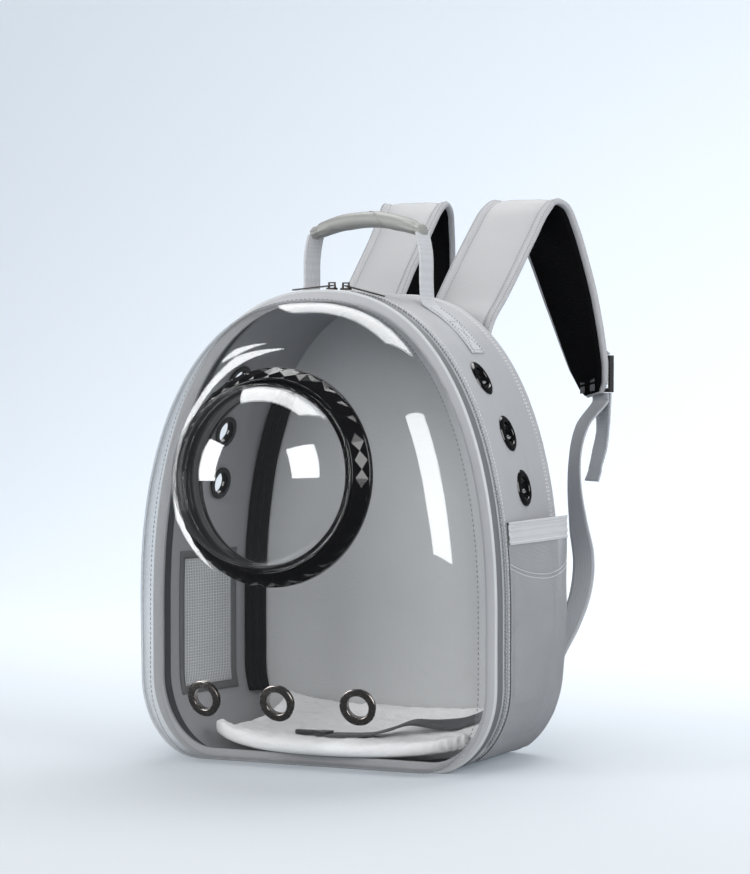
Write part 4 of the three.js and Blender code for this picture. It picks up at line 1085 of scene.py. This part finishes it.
def strap_frame(places, t):
    """A strap's centre, its across and outward directions and its width at a share of its length."""
    centres = [place[0] for place in places]
    position = clamp(t) * (len(places) - 1)
    index = min(int(position), len(places) - 2)
    share = position - index
    turn = math.radians(mix(places[index][1], places[index + 1][1], share))
    along = (curve(centres, t + 0.002) - curve(centres, t - 0.002)).normalized()
    level = Vector((math.cos(turn), math.sin(turn), 0))
    across = (level - along * level.dot(along)).normalized()
    width = mix(places[index][2], places[index + 1][2], share)
    return curve(centres, t), across, across.cross(along).normalized(), width


def strap_length(places):
    spots = [curve([place[0] for place in places], step / 200) for step in range(201)]
    return sum((b - a).length for a, b in zip(spots, spots[1:]))


def pad_strip(places, half, stops, upper, lower, rows, hand, ends=(0.0, 0.0)):
    """A closed padded strip; its faces' heights are functions of the distance from its edge."""
    length = strap_length(places)
    shares = [1 - (1 - row / rows) ** 1.5 for row in range(rows + 1)]
    shares = [mix(ends[0] / length, 1 - ends[1] / length, share) for share in shares]
    frames = [strap_frame(places, share) for share in shares]
    profile = [(-1, stop) for stop in stops] + [(1, stop) for stop in reversed(stops[:-1])]
    count = len(profile) - 1

    def spot(u, v):
        column = round(u * 2 * count) % (2 * count)
        top = column <= count
        sign, stop = profile[column if top else 2 * count - column]
        row = round(v * rows)
        centre, across, out, width = frames[row]
        reach = half * width
        distance = stop * min(1, reach / stops[-1])
        share = (shares[row] - shares[0]) * length, (shares[-1] - shares[row]) * length
        return sign * (reach - distance), min(distance, *share), top, frames[row]

    def place(u, v):
        w, distance, top, (centre, across, out, _) = spot(u, v)
        point = centre + across * w + out * (upper(distance) if top else lower(distance))
        point.y = max(point.y, back_y + 0.3)
        return mirror(point, hand)

    return grid(2 * count, rows, place, (4 * half, length), wrap=True, edge=lambda u, v: spot(u, v)[1])


def bound_pad(name):
    """The straps' outer face: coated cloth inside a woven binding."""
    f = Finish(name, (0.5, 0.5, 0.5), 0.55, sheen_weight=0.05)
    edge, _ = f.flat("edge")
    across, along = f.flat()
    inside = edge.between(7.2, 7.7)
    fine = f.noise(1.3, 4)
    pebble = f.pebble(0.85)
    broad = f.noise(0.014, 3)
    weave = f.wave(across + along * 0.6, 1.5) * f.wave(across - along * 0.6, 1.5)
    f.relief((pebble * 0.6 + fine * 0.3) * inside + weave * (1 - inside), 0.2)
    cloth = f.shade((0.30, 0.305, 0.315), broad * 0.1 + fine * 0.05 + 0.925)
    tape = f.shade((0.36, 0.365, 0.38), weave * 0.22 + fine * 0.1 + 0.8)
    return f.paint(base_color=f.blend(inside, tape, cloth), roughness=0.85 - inside * 0.3)


strap_finish = bound_pad("bound_pad")


def strap_upper(distance):
    edge = 3.0 * math.sqrt(1 - (1 - clamp(distance / 2.2)) ** 2)
    step = -0.6 * ease(distance, 7.0, 7.6)
    dent = -0.8 * math.exp(-(((distance - 9.5) / 1.5) ** 2))
    return edge + step + dent + 1.4 * ease(distance, 9, 24)


def strap_lower(distance):
    return -2.5 * math.sqrt(1 - (1 - clamp(distance / 2.2)) ** 2)


def lining_upper(distance):
    return -2.7 - 0.9 * (1 - clamp(distance / 1.5))


def lining_lower(distance):
    return -3.6 - 2.3 * ease(distance, 0, 4) - 0.4 * ease(distance, 5, 20)


def ribbon(places, rows, hand, lift=lambda t: 0.0):
    """An open strip of strap webbing along places."""
    frames = [strap_frame(places, row / rows) for row in range(rows + 1)]

    def place(u, v):
        centre, across, out, _ = frames[round(v * rows)]
        point = centre + across * ((u - 0.5) * webbing_width) + out * lift(v)
        point.y = max(point.y, back_y + 0.4)
        return mirror(point, hand)

    return grid(8, rows, place, (webbing_width, strap_length(places)))


def webbing(name, node, bm, finish):
    """A strip of webbing, thickened to both sides of its middle."""
    return piece(name, bm, finish, [node], wall=webbing_wall, side_of_wall=0)


def make_straps():
    stops = [0, 0.25, 0.8, 1.6, 2.6, 4.2, 5.8, 7.0, 7.6, 8.6, 9.5, 10.4, 12, 15, 19, 24, 30, 35]
    lining_stops = [0, 0.5, 1.5, 3, 5, 8, 12, 17, 23, 30]
    edge = 18.6
    for word, hand in hands:
        bm = pad_strip(strap_places, strap_half, stops, strap_upper, strap_lower, 150, hand)
        pad = piece("strap_pad_" + word, bm, strap_finish, ["shoulder_strap_" + word], sharp=60)
        heights = (lining_upper, lining_lower)
        bm = pad_strip(strap_places, lining_half, lining_stops, *heights, 120, hand, (5, 6))
        name = "strap_lining_" + word
        lining = piece(name, bm, spacer_mesh, ["strap_mesh_" + word], sharp=60)

        thread, tacks = bmesh.new(), bmesh.new()
        length = strap_length(strap_places)
        for depth in (2.4, 9.4):
            for sign in (-1, 1):
                path = []
                for step in range(301):
                    t = mix(0.03, 1 - depth / length, step / 300)
                    centre, across, out, width = strap_frame(strap_places, t)
                    w = sign * (strap_half * width - depth * min(1, width))
                    point = centre + across * w + out * (strap_upper(depth) + 0.15)
                    path.append((mirror(point, hand), mirror(out, hand)))
                sew(thread, path, 2.6, 1.0)
        piece("strap_stitches_" + word, thread, thread_mid)
        for shift in (-9, 9):
            centre, across, out, _ = strap_frame(strap_places, 0.925)
            start = centre + across * shift
            for step in range(9):
                spot = start + across * (step - 4) * 0.9 - out * 6.5
                path = [(mirror(spot - Vector((0, 0, 5)), hand), mirror(-out, hand))]
                path.append((mirror(spot + Vector((0, 0, 5)), hand), mirror(-out, hand)))
                sew(tacks, path, 8.0, 0.6, 0.4)
        piece("strap_tacks_" + word, tacks, thread_dark)

        drops = (0, 4, 8)
        long_places = [lock_place(edge + drop, -webbing_wall) for drop in drops]
        long_places += [row_place(row, 0.8) for row in webbing_rows]
        tail_places = [lock_place(edge + drop, webbing_wall) for drop in drops]
        tail_places += [row_place(row, 0.8) for row in tail_rows]
        made = ribbon(long_places, 120, hand)
        webbing("adjuster_webbing_" + word, "strap_webbing_" + word, made, webbing_grey)
        made = ribbon(tail_places, 40, hand, lambda t: 0.9 * ease(t, 0.86, 0.88))
        webbing("adjuster_tail_" + word, "strap_tail_" + word, made, webbing_grey)
        face, bar = -7.9, 19.4
        rows = ((1, 1), (0.5, 1), (0.2, 0.65), (0, 0))
        loop_places = [lock_place(-bar - up * 18, face * down) for up, down in rows]
        made = ribbon(loop_places, 24, hand)
        webbing("lock_loop_" + word, "buckle_loop_" + word, made, webbing_grey)


# Handle

handle_y = -1.4
handle_bend = 67
handle_sewn = 42
grip_half = 56
grip_height = 474.95
grip_rise = 12


def make_handle():
    for word, hand in hands:
        sewn = [crown(handle_y, handle_bend + handle_sewn * (1 - step / 8), 1.7) for step in range(9)]
        rise = sewn[-1].z
        free = [(60.5, rise + 6), (58.6, rise + 20), (58.0, 454), (55.6, 468), (54, 474)]
        line = sewn + [Vector((x, handle_y, z)) for x, z in free]

        def place(u, v):
            point = curve(line, v)
            y = handle_y + (u - 0.5) * handle_width
            return mirror(Vector((point.x * half_width(y) / half_width(handle_y), y, point.z)), hand)

        bm = face_away(grid(10, 90, place, (handle_width, 130)), Vector((0, 0, 380)))
        webbing("handle_strap_" + word, "handle_webbing_" + word, bm, handle_weave)
        thread = bmesh.new()

        def on_strap(u, v):
            point = curve(sewn, v)
            y = handle_y + (u - 0.5) * handle_width
            point = Vector((point.x * half_width(y) / half_width(handle_y), y, point.z))
            normal = (crown(handle_y, point.x, 1) - crown(handle_y, point.x, 0)).normalized()
            return mirror(point + normal * 1.0, hand), mirror(normal, hand)

        lines = [((0.1, 0), (0.1, 1)), ((0.9, 0), (0.9, 1))]
        lines += [((0.1, 0.04), (0.9, 0.04)), ((0.1, 0.6), (0.9, 0.6))]
        lines += [((0.1, 0.04), (0.9, 0.6)), ((0.9, 0.04), (0.1, 0.6))]
        for (u0, v0), (u1, v1) in lines:
            path = [on_strap(mix(u0, u1, s / 20), mix(v0, v1, s / 20)) for s in range(21)]
            sew(thread, path, 2.4, 0.8)
        piece("handle_stitches_" + word, thread, thread_mid)

    columns, rows = 56, 110

    def grip(u, v):
        along = 2 * v - 1
        turn = u * 2 * math.pi
        full = 0.62 + 0.38 * math.sqrt(max(0, 1 - along**4))
        cuff = 1 - 0.16 * math.exp(-(((abs(along) - 0.9) / 0.035) ** 2)) + 0.05 * ease(abs(along), 0.93, 0.97)
        gather = 1 + 0.05 * math.sin(turn * 9) * ease(abs(along), 0.55, 0.95)
        swirl = (turn / (2 * math.pi) * 0.9 + along * 1.1) % 1.0
        overlap = 1 + 0.07 * (1 - ease(swirl, 0.0, 0.75)) * (1 - ease(abs(along), 0.45, 0.7))
        round_off = math.sqrt(max(0, 1 - ease(abs(along), 0.985, 1.0)))
        size = full * cuff * gather * overlap * round_off
        middle = grip_height + grip_rise * (1 - along**2)
        y = math.copysign(abs(math.sin(turn)) ** 0.9, math.sin(turn))
        z = math.copysign(abs(math.cos(turn)) ** 0.9, math.cos(turn))
        return Vector((along * grip_half, handle_y + y * 13.6 * size, middle + z * 7.2 * size))

    bm = grid(columns, rows, grip, (74, 104), wrap=True)
    made = piece("grip_pad", bm, grip_cloth, ["handle_grip"], sharp=60)


grip_cloth = coated_cloth("grip_cloth", (0.21, 0.215, 0.205), rough=0.45)


# Inside


def make_folds():
    columns, rows = 72, 48
    front, back = 48, 63
    low, high = 46, 330
    width = 34
    for word, hand in hands:
        def place(u, v):
            z = mix(low, high, v)
            sway = 0.5 * noise.noise(Vector((u * 4, z * 0.02, 4)))
            pleat = (0.5 - 0.5 * math.cos(2 * math.pi * 3 * (u + 0.02 * sway))) * 4 * math.sqrt(0.5)
            wall = side(front, z)[0].x - 3.6
            corner = side(back, z)[0].x - 17
            x = mix(wall, corner, u) - pleat + 0.2 + sway
            y = mix(front, back, u) - pleat * (1 - u) + 0.2
            return mirror(Vector((x, y, z)), hand)

        bm = grid(columns, rows, place, (width, high - low))
        # The pleats' near-black colour is partly painted shade of the inner back corner
        made = piece("pleats_" + word, bm, fold_cloth_and_corner_shade, ["corner_fold_" + word], wall=0.9)


mat_rows = [(0, 7), (0.14, 7), (0.32, 0), (0.6, 1), (0.76, 5), (0.9, 15), (1, 25)]
mat_front, mat_back = -110.7, 63


def mat_half(y):
    return half_width(y) - corner_width + 20


def mat_floor(share):
    for (a, first), (b, second) in zip(mat_rows, mat_rows[1:]):
        if share <= b:
            return 2.8 + mix(first, second, (share - a) / (b - a))
    return 2.8 + mat_rows[-1][1]


def mat_top(x, y):
    share = clamp((y - mat_front) / (mat_back - mat_front))
    return mat_floor(share) + 13 + 9 * (x / mat_half(y)) ** 4


def make_mat():
    across, rows = 120, 110
    depth = 174

    def shape(u, v):
        column = round(u * 2 * across) % (2 * across)
        top = column <= across
        s = (column if top else 2 * across - column) / across * 2 - 1
        s = math.copysign(1 - (1 - abs(s)) ** 1.35, s)
        q = v**1.35 / (v**1.35 + (1 - v) ** 1.35)
        y = mix(mat_front, mat_back, q) + 52 * s**2 * max(0, 1 - q / 0.42)
        x = s * mat_half(y)
        gap = min((1 - abs(s)) * mat_half(y), q * depth, (1 - q) * depth)
        body = math.sqrt(max(0, 1 - (1 - clamp(gap / 6.5)) ** 2))
        middle = mat_floor(q) + 9 * s**4 + 6.5
        if top:
            tuft = 1.1 * noise.noise(Vector((x, y, 0)) * 0.11) + 0.8 * noise.noise(Vector((x, y, 5)) * 0.3)
            tuft += 0.5 * noise.noise(Vector((x, y, 9)) * 0.7)
            z = middle + (6.2 + tuft) * body
        else:
            z = middle - 6.5 * body
        teeth = 1.7 * (1 - abs(2 * ((s * 21) % 1) - 1)) * (1 - clamp(gap / 8)) * (1 - ease(q, 0, 0.12))
        return Vector((x, y - teeth + 1.0, z))

    bm = grid(2 * across, rows, shape, wrap=True)
    made = piece("plush_mat", bm, plush_white, ["floor_mat"], sharp=80)

    leash_rows = [(-0.22, 0.5, 0), (-0.09, 0.53, 0), (0.05, 0.57, 0), (0.19, 0.62, 0.45)]
    leash_rows += [(0.33, 0.68, 1), (0.49, 0.75, 0.45), (0.66, 0.82, 0), (0.8, 0.88, 0)]
    line = []
    for share, depth, lift in leash_rows:
        y = mix(mat_front, mat_back, depth)
        line.append(Vector((share * mat_half(y), y, lift * 9)))

    def on_mat(u, v):
        spot = curve(line, u)
        y = spot.y + (v - 0.5) * leash_width
        return Vector((spot.x, y, mat_top(spot.x, y) + 1.9 + max(0, spot.z)))

    bm = face_away(grid(80, 8, on_mat, (170, leash_width)), Vector((0, 0, -300)))
    webbing("tether", "leash", bm, leash_weave)


def dress_node(node, finish, width=0.35, sharp=30):
    """Keeps a hard solid, with its edges rounded and a finish of its own."""
    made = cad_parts[node]
    made.data.materials.clear()
    made.data.materials.append(finish.material)
    weld = made.modifiers.new("weld", "WELD")
    weld.merge_threshold = 1e-6
    rounding = made.modifiers.new("rounding", "BEVEL")
    rounding.width = width * MM
    rounding.segments = 3
    rounding.limit_method = "ANGLE"
    rounding.angle_limit = math.radians(sharp)
    rounding.harden_normals = False


def make_hardware():
    for word in ("right", "left"):
        dress_node("ladder_lock_" + word, satin_black, 0.8)
        dress_node("zip_slider_" + word, slider_nickel, 0.3)
        dress_node("zip_pull_" + word, slider_nickel, 0.3)
    dress_node("leash_clip", satin_black, 0.8)


# Light and stage


def make_stage():
    def place(u, v):
        x = mix(-4000, 4000, u)
        length = v * 9500
        flat, bend = 4500, 1400
        arc = bend * math.pi / 2
        if length < flat:
            return Vector((x, -3000 + length, -0.2))
        if length < flat + arc:
            t = (length - flat) / bend
            return Vector((x, 1500 + bend * math.sin(t), bend * (1 - math.cos(t)) - 0.2))
        return Vector((x, 1500 + bend, bend + length - flat - arc))

    bm = grid(12, 90, place)
    face_away(bm, Vector((0, 8000, -8000)))
    floor = new_object("studio_sweep", bm)
    floor.data.shade_smooth()
    finish = Finish("studio_floor", (0.66, 0.70, 0.74), 0.8, emission_strength=1.0)
    away = finish.axes()[1].between(-900, 1700)
    finish.paint(
        base_color=finish.blend(away, (0.40, 0.42, 0.44), (0.56, 0.59, 0.63)),
        emission_color=finish.blend(away, (0.02, 0.03, 0.04), (0.345, 0.385, 0.425)),
    )
    # Clear from behind, so that the bag can be seen from every side
    tree = finish.tree
    clear = tree.nodes.new("ShaderNodeBsdfTransparent")
    sided = tree.nodes.new("ShaderNodeMixShader")
    finish.feed(sided.inputs[0], finish.node("ShaderNodeNewGeometry", output="Backfacing"))
    tree.links.new(finish.shader.outputs[0], sided.inputs[1])
    tree.links.new(clear.outputs[0], sided.inputs[2])
    tree.links.new(sided.outputs[0], tree.nodes["Material Output"].inputs["Surface"])
    floor.visible_glossy = False
    floor.data.materials.append(finish.material)


def softbox(name, azimuth, elevation, width, height, power, mirrored=True):
    """A soft rectangular light; azimuth is turned from the front towards +X."""
    distance = 2.5
    aim = Vector((0, -0.15, 0.24))
    a, e = math.radians(azimuth), math.radians(elevation)
    away = Vector((math.sin(a) * math.cos(e), -math.cos(a) * math.cos(e), math.sin(e)))
    data = bpy.data.lights.new(name, "AREA")
    data.shape = "RECTANGLE"
    data.size = width
    data.size_y = height
    data.energy = power
    lamp = bpy.data.objects.new(name, data)
    lamp.location = aim + away * distance
    lamp.rotation_euler = (-away).to_track_quat("-Z", "Y").to_euler()
    lamp.visible_glossy = mirrored
    bpy.context.scene.collection.objects.link(lamp)


def make_lights():
    softbox("left_softbox", -47, 16, 1.1, 1.7, 46)
    softbox("right_softbox", 77, 18, 1.7, 1.6, 52)
    softbox("front_fill", 8, 24, 2.4, 1.8, 64, mirrored=False)
    softbox("back_softbox", 190, 58, 2.4, 1.6, 60)
    world = bpy.data.worlds.new("studio")
    bpy.context.scene.world = world
    world.use_nodes = True
    back = world.node_tree.nodes["Background"]
    back.inputs["Color"].default_value = (0.9, 0.95, 1.0, 1)
    back.inputs["Strength"].default_value = 0.1
    bpy.context.scene.view_settings.view_transform = "Standard"


def make_camera():
    data = bpy.data.cameras.new("camera")
    camera = bpy.data.objects.new("camera", data)
    camera.location = (1.2557, -2.4532, 0.3491)
    aim = Vector((0, -0.070, 0.210)) - camera.location
    camera.rotation_euler = aim.to_track_quat("-Z", "Y").to_euler()
    data.sensor_width = 36
    data.lens = 124.54
    data.shift_x = 0.04757
    data.shift_y = 0.1039
    bpy.context.scene.collection.objects.link(camera)
    bpy.context.scene.camera = camera


make_camera()
make_shell()
make_bubble()
make_eyelets()
make_rim()
make_gusset()
make_back_panel()
make_windows()
make_pockets()
make_straps()
make_handle()
make_folds()
make_mat()
make_hardware()
make_stage()
make_lights()
